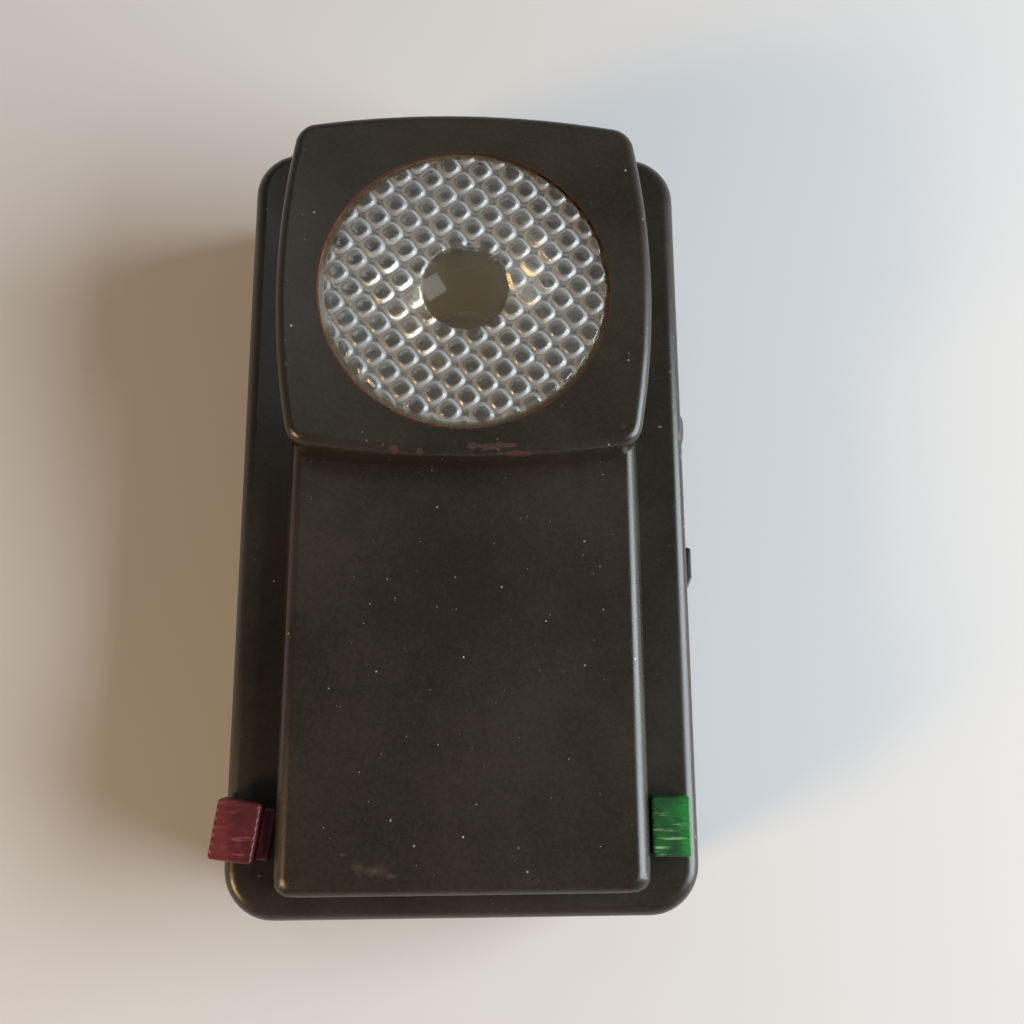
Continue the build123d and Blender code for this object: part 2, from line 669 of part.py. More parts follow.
# Brass strips of the battery, folded up to meet the rivets in the bridge
strip_tip = bridge_y - rivet_head_height
with BuildPart() as battery_long_strip:
    with BuildSketch(Plane.YZ.offset(-strip_spacing / 2)):
        with BuildLine():
            Polyline(
                (battery_top, strip_z - strip_foot),
                (battery_top + strip_thickness, strip_z - strip_foot),
                (battery_top + strip_thickness, strip_z - strip_foot + strip_bend),
                (strip_tip, strip_z - rivet_head),
                (strip_tip, strip_z + long_strip_end),
                (strip_tip - strip_thickness, strip_z + long_strip_end),
                (strip_tip - strip_thickness, strip_z - rivet_head),
                (battery_top, strip_z - strip_foot + strip_bend + strip_thickness),
                close=True,
            )
        make_face()
    extrude(amount=strip_width / 2, both=True)
battery_long_strip.part.label = "battery_long_strip"
export_step(battery_long_strip.part, "parts/battery_long_strip.step")

with BuildPart() as battery_short_strip:
    with BuildSketch(Plane.YZ.offset(strip_spacing / 2)):
        with BuildLine():
            Polyline(
                (battery_top, strip_z - strip_foot),
                (battery_top + strip_thickness, strip_z - strip_foot),
                (battery_top + strip_thickness, strip_z - strip_foot + strip_bend),
                (strip_tip, strip_z - rivet_head),
                (strip_tip, strip_z + short_strip_end),
                (strip_tip - strip_thickness, strip_z + short_strip_end),
                (strip_tip - strip_thickness, strip_z - rivet_head),
                (battery_top, strip_z - strip_foot + strip_bend + strip_thickness),
                close=True,
            )
        make_face()
    extrude(amount=strip_width / 2, both=True)
battery_short_strip.part.label = "battery_short_strip"
export_step(battery_short_strip.part, "parts/battery_short_strip.step")

# Insulating bridge across the case, under the deck, between battery and lamp
bridge_low = cover_depth + lip_height + 2 * side_gap
bridge_right = wall_x - bridge_side_room
with BuildPart() as contact_bridge:
    with BuildSketch(Plane.XZ.offset(-bridge_y)) as bridge_outline:
        with Locations(((bridge_right - wall_x) / 2, (bridge_low + deck_bottom) / 2)):
            Rectangle(bridge_right + wall_x, deck_bottom - bridge_low)
        chamfer(bridge_outline.vertices().group_by(Axis.X)[0].sort_by(Axis.Y)[-1], length=edge_round - sheet)
        with Locations((-strip_spacing / 2, strip_z), (strip_spacing / 2, strip_z)):
            Circle(rivet_radius, mode=Mode.SUBTRACT)
    extrude(amount=-bridge_thickness)
    with BuildSketch(Plane.XY.offset(deck_bottom)):
        with Locations((0, lamp_y)):
            Circle(reflector_rim + reflector_flange + reflector_gap)
    extrude(amount=-(reflector_sheet + bridge_relief), mode=Mode.SUBTRACT)
contact_bridge.part.label = "contact_bridge"
export_step(contact_bridge.part, "parts/contact_bridge.step")

# Tip contact: a brass leaf from the long strip's rivet to the bulb's tip
tip_z = base_top - bulb_base_length - bulb_tip_height
with BuildPart() as tip_contact:
    with BuildSketch(Plane.XZ.offset(-bridge_back)):
        with Locations((-strip_spacing / 2, (strip_z + rivet_head + tip_z - strip_thickness) / 2)):
            Rectangle(strip_width, strip_z + rivet_head - tip_z + strip_thickness)
        with Locations((-strip_spacing / 2, strip_z)):
            Circle(rivet_radius, mode=Mode.SUBTRACT)
    extrude(amount=-strip_thickness)
    with BuildSketch(Plane.XY.offset(tip_z - strip_thickness)):
        with BuildLine():
            Polyline(
                (-strip_spacing / 2 - strip_width / 2, bridge_back),
                (-strip_spacing / 2 + strip_width / 2, bridge_back),
                (strip_width / 2, lamp_y - strip_width),
                (strip_width / 2, lamp_y + strip_width / 2),
                (-strip_width / 2, lamp_y + strip_width / 2),
                (-strip_width / 2, lamp_y - strip_width / 2),
                (-strip_spacing / 2 - strip_width / 2, bridge_back + strip_width / 2),
                close=True,
            )
        make_face()
    extrude(amount=strip_thickness)
tip_contact.part.label = "tip_contact"
export_step(tip_contact.part, "parts/tip_contact.step")

# Side contact: brass strip from the short strip's rivet to the switch and the key
side_contact_x = wall_x - side_contact_inset
with BuildPart() as side_contact:
    with BuildSketch(Plane.XZ.offset(-bridge_back)):
        contact_end = plate_x - strip_thickness - side_gap
        with Locations(((strip_spacing / 2 - strip_width / 2 + contact_end) / 2, strip_z)):
            Rectangle(contact_end - strip_spacing / 2 + strip_width / 2, wiper_width)
        with Locations((strip_spacing / 2, strip_z)):
            Circle(rivet_radius, mode=Mode.SUBTRACT)
    extrude(amount=-strip_thickness)
    with BuildSketch(Plane.YZ.offset(side_contact_x - strip_thickness)):
        with Locations(((bridge_back + foot + key_y + key_radius) / 2, strip_z)):
            Rectangle(foot + key_y + key_radius - bridge_back, wiper_width)
    extrude(amount=strip_thickness)
side_contact.part.label = "side_contact"
export_step(side_contact.part, "parts/side_contact.step")

# Brass rivets that clamp the two contacts to the bridge
with BuildPart() as long_rivet:
    with BuildSketch(Plane.XZ.offset(-bridge_y)):
        with Locations((-strip_spacing / 2, strip_z)):
            Circle(rivet_radius)
    extrude(amount=-(bridge_thickness + strip_thickness))
    for head in (bridge_y - rivet_head_height, bridge_back + strip_thickness):
        with BuildSketch(Plane.XZ.offset(-head)):
            with Locations((-strip_spacing / 2, strip_z)):
                Circle(rivet_head)
        extrude(amount=-rivet_head_height)
long_rivet.part.label = "long_rivet"
export_step(long_rivet.part, "parts/long_rivet.step")

with BuildPart() as short_rivet:
    with BuildSketch(Plane.XZ.offset(-bridge_y)):
        with Locations((strip_spacing / 2, strip_z)):
            Circle(rivet_radius)
    extrude(amount=-(bridge_thickness + strip_thickness))
    for head in (bridge_y - rivet_head_height, bridge_back + strip_thickness):
        with BuildSketch(Plane.XZ.offset(-head)):
            with Locations((strip_spacing / 2, strip_z)):
                Circle(rivet_head)
        extrude(amount=-rivet_head_height)
short_rivet.part.label = "short_rivet"
export_step(short_rivet.part, "parts/short_rivet.step")

# ---------------------------------------------------------------- switch slide and morse key

# Switch slide: a wedge-shaped knob outside, a neck through the slot, a plate inside
with BuildPart() as switch_slide:
    with BuildSketch(Plane.XY.offset(switch_z)):
        with BuildLine():
            low = foot + slide_y - slide_knob_length / 2
            high = foot + slide_y + slide_knob_length / 2
            Polyline(
                (half_width + side_gap, low),
                (half_width + side_gap + knob_low_rise, low),
                (half_width + side_gap + knob_rise, low + slide_ramp),
                (half_width + side_gap + knob_rise, high),
                (half_width + side_gap, high),
                close=True,
            )
        make_face()
    extrude(amount=slide_knob_width / 2, both=True)
    fillet(switch_slide.edges().filter_by(Axis.Z).sort_by(Axis.X)[-2:], radius=slide_knob_round)
    with BuildSketch(Plane.YZ.offset(plate_x)):
        with Locations((foot + slide_y, switch_z)):
            Rectangle(slide_neck_length, slide_neck_width)
    extrude(amount=half_width + side_gap - plate_x)
    with BuildSketch(Plane.YZ.offset(plate_x)):
        with Locations((foot + slide_y, switch_z)):
            Rectangle(slide_plate_length, slide_knob_width)
    extrude(amount=slide_plate_thickness)
switch_slide.part.label = "switch_slide"
export_step(switch_slide.part, "parts/switch_slide.step")

# Brass wiper on the inside of the slide's plate
with BuildPart() as switch_wiper:
    with BuildSketch(Plane.YZ.offset(plate_x - strip_thickness)):
        with Locations((foot + slide_y + wiper_length / 2, switch_z)):
            Rectangle(wiper_length, wiper_width)
    extrude(amount=strip_thickness)
switch_wiper.part.label = "switch_wiper"
export_step(switch_wiper.part, "parts/switch_wiper.step")

# Morse key: a round button with a sloped crown and an inner flange
with BuildPart() as morse_key:
    with BuildSketch(Plane.YZ.offset(key_in)):
        with Locations((foot + key_y, switch_z)):
            Circle(key_radius)
    extrude(amount=half_width + key_rise - key_in)
    chamfer(morse_key.edges().filter_by(GeomType.CIRCLE).sort_by(Axis.X)[-1], length=key_bevel)
    with BuildSketch(Plane.YZ.offset(key_in)):
        with Locations((foot + key_y, switch_z)):
            Circle(key_radius + key_flange_width)
    extrude(amount=key_flange)
    with BuildSketch(Plane.YZ.offset(key_in)):
        with Locations((foot + key_y, switch_z)):
            Circle(key_boss_radius)
    extrude(amount=-key_boss_height)
morse_key.part.label = "morse_key"
export_step(morse_key.part, "parts/morse_key.step")

# Contact spring behind the key: a brass leaf that the key swings about its rolled root
with BuildPart() as key_spring:
    with BuildSketch(Plane.YZ.offset(key_spring_x)):
        with Locations((foot + key_y + (key_spring_reach - key_spring_tip) / 2, switch_z)):
            Rectangle(key_spring_reach + key_spring_tip, wiper_width)
    extrude(amount=strip_thickness)
    with BuildSketch(Plane.XY.offset(switch_z)):
        with Locations((key_spring_x + strip_thickness / 2, foot + key_y + key_spring_reach)):
            Circle(spring_root_radius)
    extrude(amount=wiper_width / 2, both=True)
key_spring.part.label = "key_spring"
export_step(key_spring.part, "parts/key_spring.step")

# Bracket on the side wall that carries the spring's root
with BuildPart() as key_bracket:
    with BuildSketch(Plane.XY.offset(switch_z)):
        with BuildLine():
            root = foot + key_y + key_spring_reach + spring_root_radius + side_gap
            Polyline(
                (key_spring_x, root),
                (wall_x, root),
                (wall_x, root + bracket_foot),
                (wall_x - strip_thickness, root + bracket_foot),
                (wall_x - strip_thickness, root + bracket_block),
                (key_spring_x, root + bracket_block),
                close=True,
            )
        make_face()
    extrude(amount=wiper_width / 2, both=True)
key_bracket.part.label = "key_bracket"
export_step(key_bracket.part, "parts/key_bracket.step")
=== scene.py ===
import bmesh
import bpy
import numpy as np
from mathutils import Matrix, Vector


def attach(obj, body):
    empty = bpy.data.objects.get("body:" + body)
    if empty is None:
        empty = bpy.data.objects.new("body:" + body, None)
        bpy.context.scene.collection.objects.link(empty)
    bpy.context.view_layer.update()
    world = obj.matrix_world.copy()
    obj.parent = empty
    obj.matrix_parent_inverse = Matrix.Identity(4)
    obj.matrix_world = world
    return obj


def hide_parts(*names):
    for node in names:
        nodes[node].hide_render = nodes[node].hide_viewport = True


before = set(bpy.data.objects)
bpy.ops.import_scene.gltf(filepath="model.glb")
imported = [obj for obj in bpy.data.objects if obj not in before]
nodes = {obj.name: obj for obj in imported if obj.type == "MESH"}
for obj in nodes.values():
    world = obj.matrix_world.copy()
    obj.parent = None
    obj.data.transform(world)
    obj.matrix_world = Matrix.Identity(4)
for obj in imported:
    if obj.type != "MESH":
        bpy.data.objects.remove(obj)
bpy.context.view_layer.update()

# All lengths are in metres, in the lamp's own frame: +X towards the switch, +Y towards the
# head and +Z out of the front. Sizes that a maker would give in millimetres are written * mm.
mm = 0.001
scene = bpy.context.scene

# ---------------------------------------------------------------- table, light and camera
# The lamp lies on its back on a pale table top, in the soft light of a window on its
# right, with a warmer and weaker one on its left and a pale sky above.


def graph(material_name):
    """A new material with its node tree and its Principled shader."""
    material = bpy.data.materials.new(material_name)
    material.use_nodes = True
    return material, material.node_tree, material.node_tree.nodes["Principled BSDF"]


def feed(node, name, value):
    """Links a socket to one of a node's inputs, or sets that input to a plain value."""
    if isinstance(value, bpy.types.NodeSocket):
        node.id_data.links.new(value, node.inputs[name])
    else:
        node.inputs[name].default_value = value


def wire(tree, kind, inputs=None, out=0, **settings):
    """Adds one node, sets its settings, feeds its inputs and returns its output number out."""
    made = tree.nodes.new(kind)
    for name, value in settings.items():
        setattr(made, name, value)
    for name, value in (inputs or {}).items():
        feed(made, name, value)
    return made.outputs[out]


def calc(tree, operation, *values, clamp=False):
    """One Math node on up to three values."""
    inputs = dict(enumerate(values))
    return wire(tree, "ShaderNodeMath", inputs, operation=operation, use_clamp=clamp)


def fade(tree, value, low, high, to_low=0.0, to_high=1.0, kind="LINEAR"):
    """Carries the span from low to high over to the span from to_low to to_high, and holds
    its ends."""
    spans = {"From Min": low, "From Max": high, "To Min": to_low, "To Max": to_high}
    return wire(tree, "ShaderNodeMapRange", {"Value": value, **spans}, interpolation_type=kind)


def colour(red, green, blue):
    """Linear RGBA from the 0 to 255 numbers of a colour chart."""
    chart = np.array([red, green, blue]) / 255
    linear = np.where(chart <= 0.04045, chart / 12.92, ((chart + 0.055) / 1.055) ** 2.4)
    return (*(float(c) for c in linear), 1.0)


table_half = 2.0
table_height = -0.00005
table_corners = np.array([(-1, -1), (1, -1), (1, 1), (-1, 1)]) * table_half
table_mesh = bpy.data.meshes.new("table_top")
table_mesh.from_pydata([(x, y, table_height) for x, y in table_corners], [], [(0, 1, 2, 3)])
table_top = bpy.data.objects.new("table_top", table_mesh)
scene.collection.objects.link(table_top)
table_paint, tree, shader = graph("table_paint")
shader.inputs["Base Color"].default_value = colour(222, 219, 216)
shader.inputs["Roughness"].default_value = 0.75
shader.inputs["Specular IOR Level"].default_value = 0.25
table_mesh.materials.append(table_paint)

# The room's walls are brighter towards the head, and its ceiling is dim
sky = bpy.data.worlds.new("sky")
sky.use_nodes = True
tree = sky.node_tree
sky_light = tree.nodes["Background"]
sky_light.inputs["Color"].default_value = colour(232, 238, 248)
aim = wire(tree, "ShaderNodeSeparateXYZ", {"Vector": wire(tree, "ShaderNodeTexCoord")})
aim_y, aim_z = aim.node.outputs["Y"], aim.node.outputs["Z"]
walls = fade(tree, aim_y, -0.6, 0.3, 0.10, 0.27)
ceiling = fade(tree, aim_z, 0.15, 0.8, walls, 0.08)
# Seen directly the walls are a plain pale backdrop, and metal and glass show it low down
backdrop = 0.82
low_wall = fade(tree, aim_z, 0.05, 0.35, 0.35, 0.0)
seen = wire(tree, "ShaderNodeLightPath").node.outputs
mirrored = calc(tree, "MAXIMUM", seen["Is Glossy Ray"], seen["Is Transmission Ray"])
mirrored = calc(tree, "MULTIPLY_ADD", mirrored, low_wall, ceiling)
ways = {"Factor": seen["Is Camera Ray"], "A": mirrored, "B": backdrop}
feed(sky_light, "Strength", wire(tree, "ShaderNodeMix", ways))
scene.world = sky


def window(name, place, aim, size, watts, tint):
    """A rectangular soft light of the given width and height, turned from its place to its aim."""
    lamp = bpy.data.lights.new(name, "AREA")
    lamp.shape = "RECTANGLE"
    lamp.size, lamp.size_y = size
    lamp.energy = watts
    lamp.color = tint
    holder = bpy.data.objects.new(name, lamp)
    holder.location = place
    holder.rotation_euler = (Vector(aim) - Vector(place)).to_track_quat("-Z", "Y").to_euler()
    scene.collection.objects.link(holder)


case_middle = (0, 0, 0.02)
case_front = (0, 0, 0.03)
window("cool_window", (0.68, -0.06, 0.33), case_middle, (0.62, 0.56), 11.5, (0.85, 0.93, 1.0))
window("warm_room", (-0.60, -0.34, 0.36), case_middle, (0.19, 0.19), 3.1, (1.0, 0.64, 0.30))
window("skylight", (-0.25, 0.44, 0.92), case_front, (0.16, 0.18), 0.24, (0.88, 0.94, 1.0))

camera = bpy.data.objects.new("camera", bpy.data.cameras.new("camera"))
camera.data.sensor_width = 36
camera.data.lens = 34.12
camera.data.clip_start = 0.01
camera.matrix_world = Matrix((
    (0.9992, -0.00197, -0.03994, 0.00124),
    (-0.00583, 0.98094, -0.19424, -0.02904),
    (0.03956, 0.19432, 0.98014, 0.1681),
    (0, 0, 0, 1),
))
scene.collection.objects.link(camera)
scene.camera = camera
scene.view_settings.view_transform = "Standard"

# ---------------------------------------------------------------- case, cover and bezel
# Three pressings of 0.6 mm sheet steel, primed red and stove-enamelled a very dark olive.
# The enamel has settled grit in it, chips on its edges and rust where bare steel shows.
enamel_dark = colour(38, 34, 26)
enamel_pale = colour(53, 47, 37)
primer = colour(84, 42, 36)
bare_tan = colour(104, 92, 68)
chip_brown = colour(112, 86, 64)
rust_dark = colour(84, 34, 22)
rust_bright = colour(146, 86, 50)
speck_white = colour(190, 188, 178)
lamp_y = 29.95 * mm
opening_radius = 21.05 * mm
panel_face = 30.3 * mm
flange_face = 25.5 * mm
panel_side = 24.8 * mm
panel_foot = -54.0 * mm
panel_long = 90.0 * mm
panel_wall = 2.0 * mm  # how far in from the outline a point still belongs to a wall
panel_lean = 1.0 * mm
lean_depth = 1.6 * mm
slack = 0.05 * mm
sharpest_bend = 0.62  # radians between faces that still shade as one pressed surface


def panel_draft(points):
    """The panel's walls lean out: in the depth of the walls, a point near the panel's outline
    moves out by panel_lean, times its depth below the panel's face over lean_depth, up to 1.
    The wall at the foot moves half as far."""
    x, y, z = points.T
    out = np.clip((panel_face - z) / lean_depth, 0, 1) * panel_lean
    wall = (z > flange_face - 0.7 * mm) & (y < panel_foot + panel_long)
    wall &= (np.abs(x) < panel_side + slack) & (y > panel_foot - slack)
    near_side = wall & (np.abs(x) > panel_side - panel_wall)
    near_foot = wall & (y < panel_foot + panel_wall)
    moved = points.copy()
    moved[:, 0] += np.where(near_side, np.sign(x) * out, 0)
    moved[:, 1] -= np.where(near_foot, 0.5 * out, 0)
    return moved


def pressing(node, name, reshape=None):
    """A copy of a CAD node's mesh, shaded as bent sheet. The normal at a face's corner is the
    sum of the normals of the faces round that corner, each times the square of its flat's
    whole area, leaving out those turned further than the sharpest bend."""
    mesh = nodes[node].data.copy()
    mesh.name = name
    shape = bmesh.new()
    shape.from_mesh(mesh)
    bmesh.ops.remove_doubles(shape, verts=shape.verts, dist=1e-6)
    bmesh.ops.triangulate(shape, faces=shape.faces)
    shape.to_mesh(mesh)
    shape.free()
    mesh.materials.clear()
    mesh.polygons.foreach_set("use_smooth", np.ones(len(mesh.polygons), bool))
    point = np.zeros(len(mesh.vertices) * 3)
    mesh.vertices.foreach_get("co", point)
    if reshape:
        point = reshape(point.reshape(-1, 3)).ravel()
        mesh.vertices.foreach_set("co", point)
    corner = np.zeros(len(mesh.loops), int)
    mesh.loops.foreach_get("vertex_index", corner)
    triangle = point.reshape(-1, 3)[corner].reshape(-1, 3, 3)
    facing = np.cross(triangle[:, 1] - triangle[:, 0], triangle[:, 2] - triangle[:, 0])
    area = np.linalg.norm(facing, axis=1)
    facing /= np.maximum(area, 1e-18)[:, None]
    # A flat is all the triangles with the same normal and the same height along it
    height = (facing * triangle[:, 0]).sum(1)
    flat = np.round(np.column_stack([facing * 500, height * 50000])).astype(int)
    _, flat = np.unique(flat, axis=0, return_inverse=True)
    weight = np.bincount(flat.ravel(), area)[flat.ravel()] ** 2
    # Pairs up each corner (here) with every corner at the same vertex (there)
    meeting = np.bincount(corner)
    count = meeting[corner]
    order = np.argsort(corner, kind="stable")
    start = (np.cumsum(meeting) - meeting)[corner]
    here = np.repeat(np.arange(len(corner)), count)
    step = np.arange(len(here)) - np.repeat(np.cumsum(count) - count, count)
    there = order[start[here] + step]
    together = (facing[here // 3] * facing[there // 3]).sum(1) > np.cos(sharpest_bend)
    normal = np.zeros((len(corner), 3))
    np.add.at(normal, here, facing[there // 3] * (weight[there // 3] * together)[:, None])
    normal /= np.linalg.norm(normal, axis=1)[:, None]
    mesh.normals_split_custom_set(normal)
    piece = bpy.data.objects.new(name, mesh)
    scene.collection.objects.link(piece)
    return piece


def place_on(tree):
    """The place on the piece, in metres."""
    return wire(tree, "ShaderNodeTexCoord", out=3)


def vector(tree, operation, *values, out=0):
    """One Vector Math node. Lengths and dot products are its output 1."""
    return wire(tree, "ShaderNodeVectorMath", dict(enumerate(values)), out, operation=operation)


def from_axis(tree, where):
    """The step from the lamp's axis straight out to a place."""
    offset = vector(tree, "SUBTRACT", where, (0, lamp_y, 0))
    return vector(tree, "MULTIPLY", offset, (1, 1, 0))


def cloudy(tree, where, scale, detail=2.0, roughness=0.5):
    """Noise with scale lumps to the metre and values round a half."""
    inputs = {"Vector": where, "Scale": scale, "Detail": detail, "Roughness": roughness}
    return wire(tree, "ShaderNodeTexNoise", inputs)


def blend(tree, factor, under, over):
    """Goes from the colour under to the colour over as the factor goes from 0 to 1."""
    return wire(tree, "ShaderNodeMix", {0: factor, 6: under, 7: over}, out=2, data_type="RGBA")


def ramp(tree, value, low, high, to_low=0.0, to_high=1.0):
    """Smooth step of a value from low to high."""
    return fade(tree, value, low, high, to_low, to_high, "SMOOTHSTEP")


def bump(tree, height, strength, distance, under=None):
    """The normals of a fine relief, laid over those of the relief under it."""
    inputs = {"Height": height, "Strength": strength, "Distance": distance}
    if under:
        inputs["Normal"] = under
    return wire(tree, "ShaderNodeBump", inputs)


def enamel(name, worn):
    """The case's finish. worn(tree, where, noise) gives how far the enamel is gone at a place
    (0 whole, 1 bare) and the colour that shows there."""
    material, tree, shader = graph(name)
    where = place_on(tree)
    cloud = cloudy(tree, where, 42.0, 5.0, 0.62)
    grit = cloudy(tree, where, 1900.0, 3.0, 0.7)
    tone = calc(tree, "MULTIPLY_ADD", cloud, 0.5, calc(tree, "MULTIPLY", grit, 0.5))
    paint = blend(tree, ramp(tree, tone, 0.34, 0.66), enamel_dark, enamel_pale)
    # Grit and dust: sparse pale specks a few tenths of a millimetre across
    for scale, size in ((330.0, 0.055), (640.0, 0.045)):
        cells = wire(tree, "ShaderNodeTexVoronoi", {"Vector": where, "Scale": scale}, feature="F1")
        chance = wire(tree, "ShaderNodeSeparateColor", {"Color": cells.node.outputs["Color"]})
        strength = calc(tree, "MULTIPLY", calc(tree, "POWER", chance, 2.0), 0.8)
        speck = calc(tree, "MULTIPLY", calc(tree, "LESS_THAN", cells, size), strength)
        paint = blend(tree, speck, paint, speck_white)
    noise = cloudy(tree, where, 700.0, 6.0, 0.65)
    bare, under = worn(tree, where, noise)
    feed(shader, "Base Color", blend(tree, bare, paint, under))
    gloss = ramp(tree, cloud, 0.3, 0.7, 0.26, 0.36)
    feed(shader, "Roughness", calc(tree, "MULTIPLY_ADD", bare, 0.4, gloss, clamp=True))
    relief = bump(tree, grit, 0.12, 0.08 * mm)
    relief = bump(tree, cloudy(tree, where, 55.0), 0.30, 0.4 * mm, relief)
    left = calc(tree, "SUBTRACT", 1.0, bare)
    feed(shader, "Normal", bump(tree, left, 0.6, 0.06 * mm, relief))
    return material


def patches(tree, where, noise, places, soft=0.1):
    """Chips at given places: one minus the distance to each place over its size, roughened by
    the noise, and cut off over soft. places are (x, y, z, half width, half height) in mm."""
    total = 0.0
    deep = 1.5 * mm
    for x, y, z, wide, tall in places:
        moved = vector(tree, "SUBTRACT", where, (x * mm, y * mm, z * mm))
        scaled = vector(tree, "MULTIPLY", moved, (1 / (wide * mm), 1 / (tall * mm), 1 / deep))
        level = calc(tree, "MULTIPLY_ADD", noise, 2.6, vector(tree, "LENGTH", scaled, out=1))
        total = calc(tree, "MAXIMUM", ramp(tree, level, 2.12, 2.12 - soft), total)
    return total


def worst(tree, first, first_share, second, second_share):
    """The larger of two kinds of wear, each weakened to its share."""
    first = calc(tree, "MULTIPLY", first, first_share)
    return calc(tree, "MAXIMUM", first, calc(tree, "MULTIPLY", second, second_share))


def shell_wear(tree, where, noise):
    """A rubbed place near the panel's lower edge, and chips on the shell's edges."""
    rubbed = patches(tree, where, noise, [
        (-12.0, -50.9, 30.3, 3.4, 1.3), (-9.6, -51.6, 30.3, 1.6, 1.0),
        (-14.0, -50.4, 30.3, 1.7, 1.2), (-16.2, -48.8, 30.3, 0.9, 0.4),
    ], 0.9)
    chips = patches(tree, where, noise, [
        (32.3, 15.2, 25.0, 0.25, 0.6), (32.9, 11.0, 24.4, 0.3, 0.9),
        (33.1, 8.2, 24.2, 0.22, 0.5), (29.9, 12.6, 25.5, 0.45, 0.2),
        (-30.8, -8.0, 25.5, 0.15, 0.2), (33.3, -30.0, 23.6, 0.3, 0.5),
    ])
    thin = blend(tree, ramp(tree, noise, 0.42, 0.58), enamel_pale, bare_tan)
    shown = blend(tree, chips, blend(tree, rubbed, primer, thin), chip_brown)
    return worst(tree, rubbed, 0.55, chips, 0.8), shown


def bezel_wear(tree, where, noise):
    """Rust round the cut edge of the opening, a dark line at the top that grows wider and
    brighter towards the lower left, and chips along the lower edge."""
    flat = from_axis(tree, where)
    away = vector(tree, "LENGTH", flat, out=1)
    lean = vector(tree, "DOT_PRODUCT", flat, (-0.75, -0.66, 0), out=1)
    heavy = ramp(tree, lean, -10 * mm, 20 * mm)
    width = calc(tree, "MULTIPLY_ADD", heavy, 0.26 * mm, 0.13 * mm)
    past = calc(tree, "DIVIDE", calc(tree, "SUBTRACT", away, opening_radius), width)
    ring = ramp(tree, calc(tree, "MULTIPLY_ADD", noise, 3.6, past), 2.8, 1.9)
    ring = calc(tree, "MULTIPLY", ring, calc(tree, "MULTIPLY_ADD", heavy, 0.5, 0.5))
    chips = patches(tree, where, noise, [
        (-9.8, 5.6, 37.3, 0.7, 0.7), (-6.2, 5.3, 37.3, 0.5, 0.5), (3.6, 6.2, 37.2, 3.2, 0.6),
        (7.6, 5.3, 37.0, 2.6, 0.4), (-22.6, 55.0, 37.3, 1.5, 0.5), (6.4, 6.3, 37.5, 1.2, 0.4),
        (-15.4, 55.9, 37.3, 0.5, 0.3), (22.4, 9.0, 37.2, 0.5, 0.3),
    ])
    flakes = calc(tree, "MULTIPLY", heavy, ramp(tree, noise, 0.42, 0.6))
    shown = blend(tree, ring, primer, blend(tree, flakes, rust_dark, rust_bright))
    return worst(tree, ring, 0.9, chips, 0.55), shown


def cover_wear(tree, where, noise):
    """Rubbed corners, where the lamp lies on its back."""
    rubbed = patches(tree, where, noise, [
        (20.0, 50.0, 0.0, 3.0, 1.2), (-26.0, -50.0, 0.0, 1.6, 2.2),
        (27.0, -48.0, 0.0, 1.2, 1.8), (-24.0, 53.0, 0.0, 1.8, 1.0),
    ])
    shown = blend(tree, ramp(tree, noise, 0.42, 0.58), primer, bare_tan)
    return calc(tree, "MULTIPLY", rubbed, 0.7), shown


for node, name, body, wear, reshape in (
    ("front_shell", "case_front", "case", shell_wear, panel_draft),
    ("rear_cover", "case_back", "cover", cover_wear, None),
    ("head_bezel", "head_frame", "case", bezel_wear, None),
):
    piece = pressing(node, name, reshape)
    piece.data.materials.append(enamel(name + "_enamel", wear))
    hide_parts(node)
    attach(piece, body)

# ---------------------------------------------------------------- lens
# Clear moulded disc. Its face is a field of small pads on a slanting square grid, with a
# plain rim round it and a smooth bullseye in the middle. Age has yellowed its rim.
lens_radius = 22.35 * mm
pattern_radius = 20.3 * mm
pattern_shift = (0.3 * mm, 0.4 * mm)
lens_back = 34.6 * mm
lens_face = 36.9 * mm
pad_height = 0.5 * mm
pad_pitch = 3.29 * mm
pad_turn = np.radians(38.25)
bullseye_radius = 6.4 * mm
steps_per_pad = 16


def skin(name, points, faces):
    """A mesh from an array of points and an array of four-cornered faces, merged where
    points meet, with its faces turned outwards."""
    mesh = bpy.data.meshes.new(name)
    mesh.vertices.add(len(points))
    mesh.vertices.foreach_set("co", np.asarray(points, np.float32).ravel())
    mesh.loops.add(faces.size)
    mesh.loops.foreach_set("vertex_index", faces.astype(np.int32).ravel())
    mesh.polygons.add(len(faces))
    mesh.polygons.foreach_set("loop_start", np.arange(len(faces), dtype=np.int32) * 4)
    mesh.update(calc_edges=True)
    mesh.validate()
    shape = bmesh.new()
    shape.from_mesh(mesh)
    bmesh.ops.remove_doubles(shape, verts=shape.verts, dist=1e-7)
    bmesh.ops.recalc_face_normals(shape, faces=shape.faces)
    shape.to_mesh(mesh)
    shape.free()
    mesh.polygons.foreach_set("use_smooth", np.ones(len(mesh.polygons), bool))
    piece = bpy.data.objects.new(name, mesh)
    scene.collection.objects.link(piece)
    return piece


def pad_ring(x, y):
    """How far a place is from the middle of its pad: the cubic mean of the two distances
    along the grid's directions, 0 in the middle and 1 at the middle of a groove."""
    across = (x * np.cos(pad_turn) + y * np.sin(pad_turn)) / pad_pitch
    along = (y * np.cos(pad_turn) - x * np.sin(pad_turn)) / pad_pitch
    a, b = (2 * np.abs(run - np.round(run)) for run in (across, along))
    return np.clip((a**3 + b**3) ** (1 / 3), 0, 1)


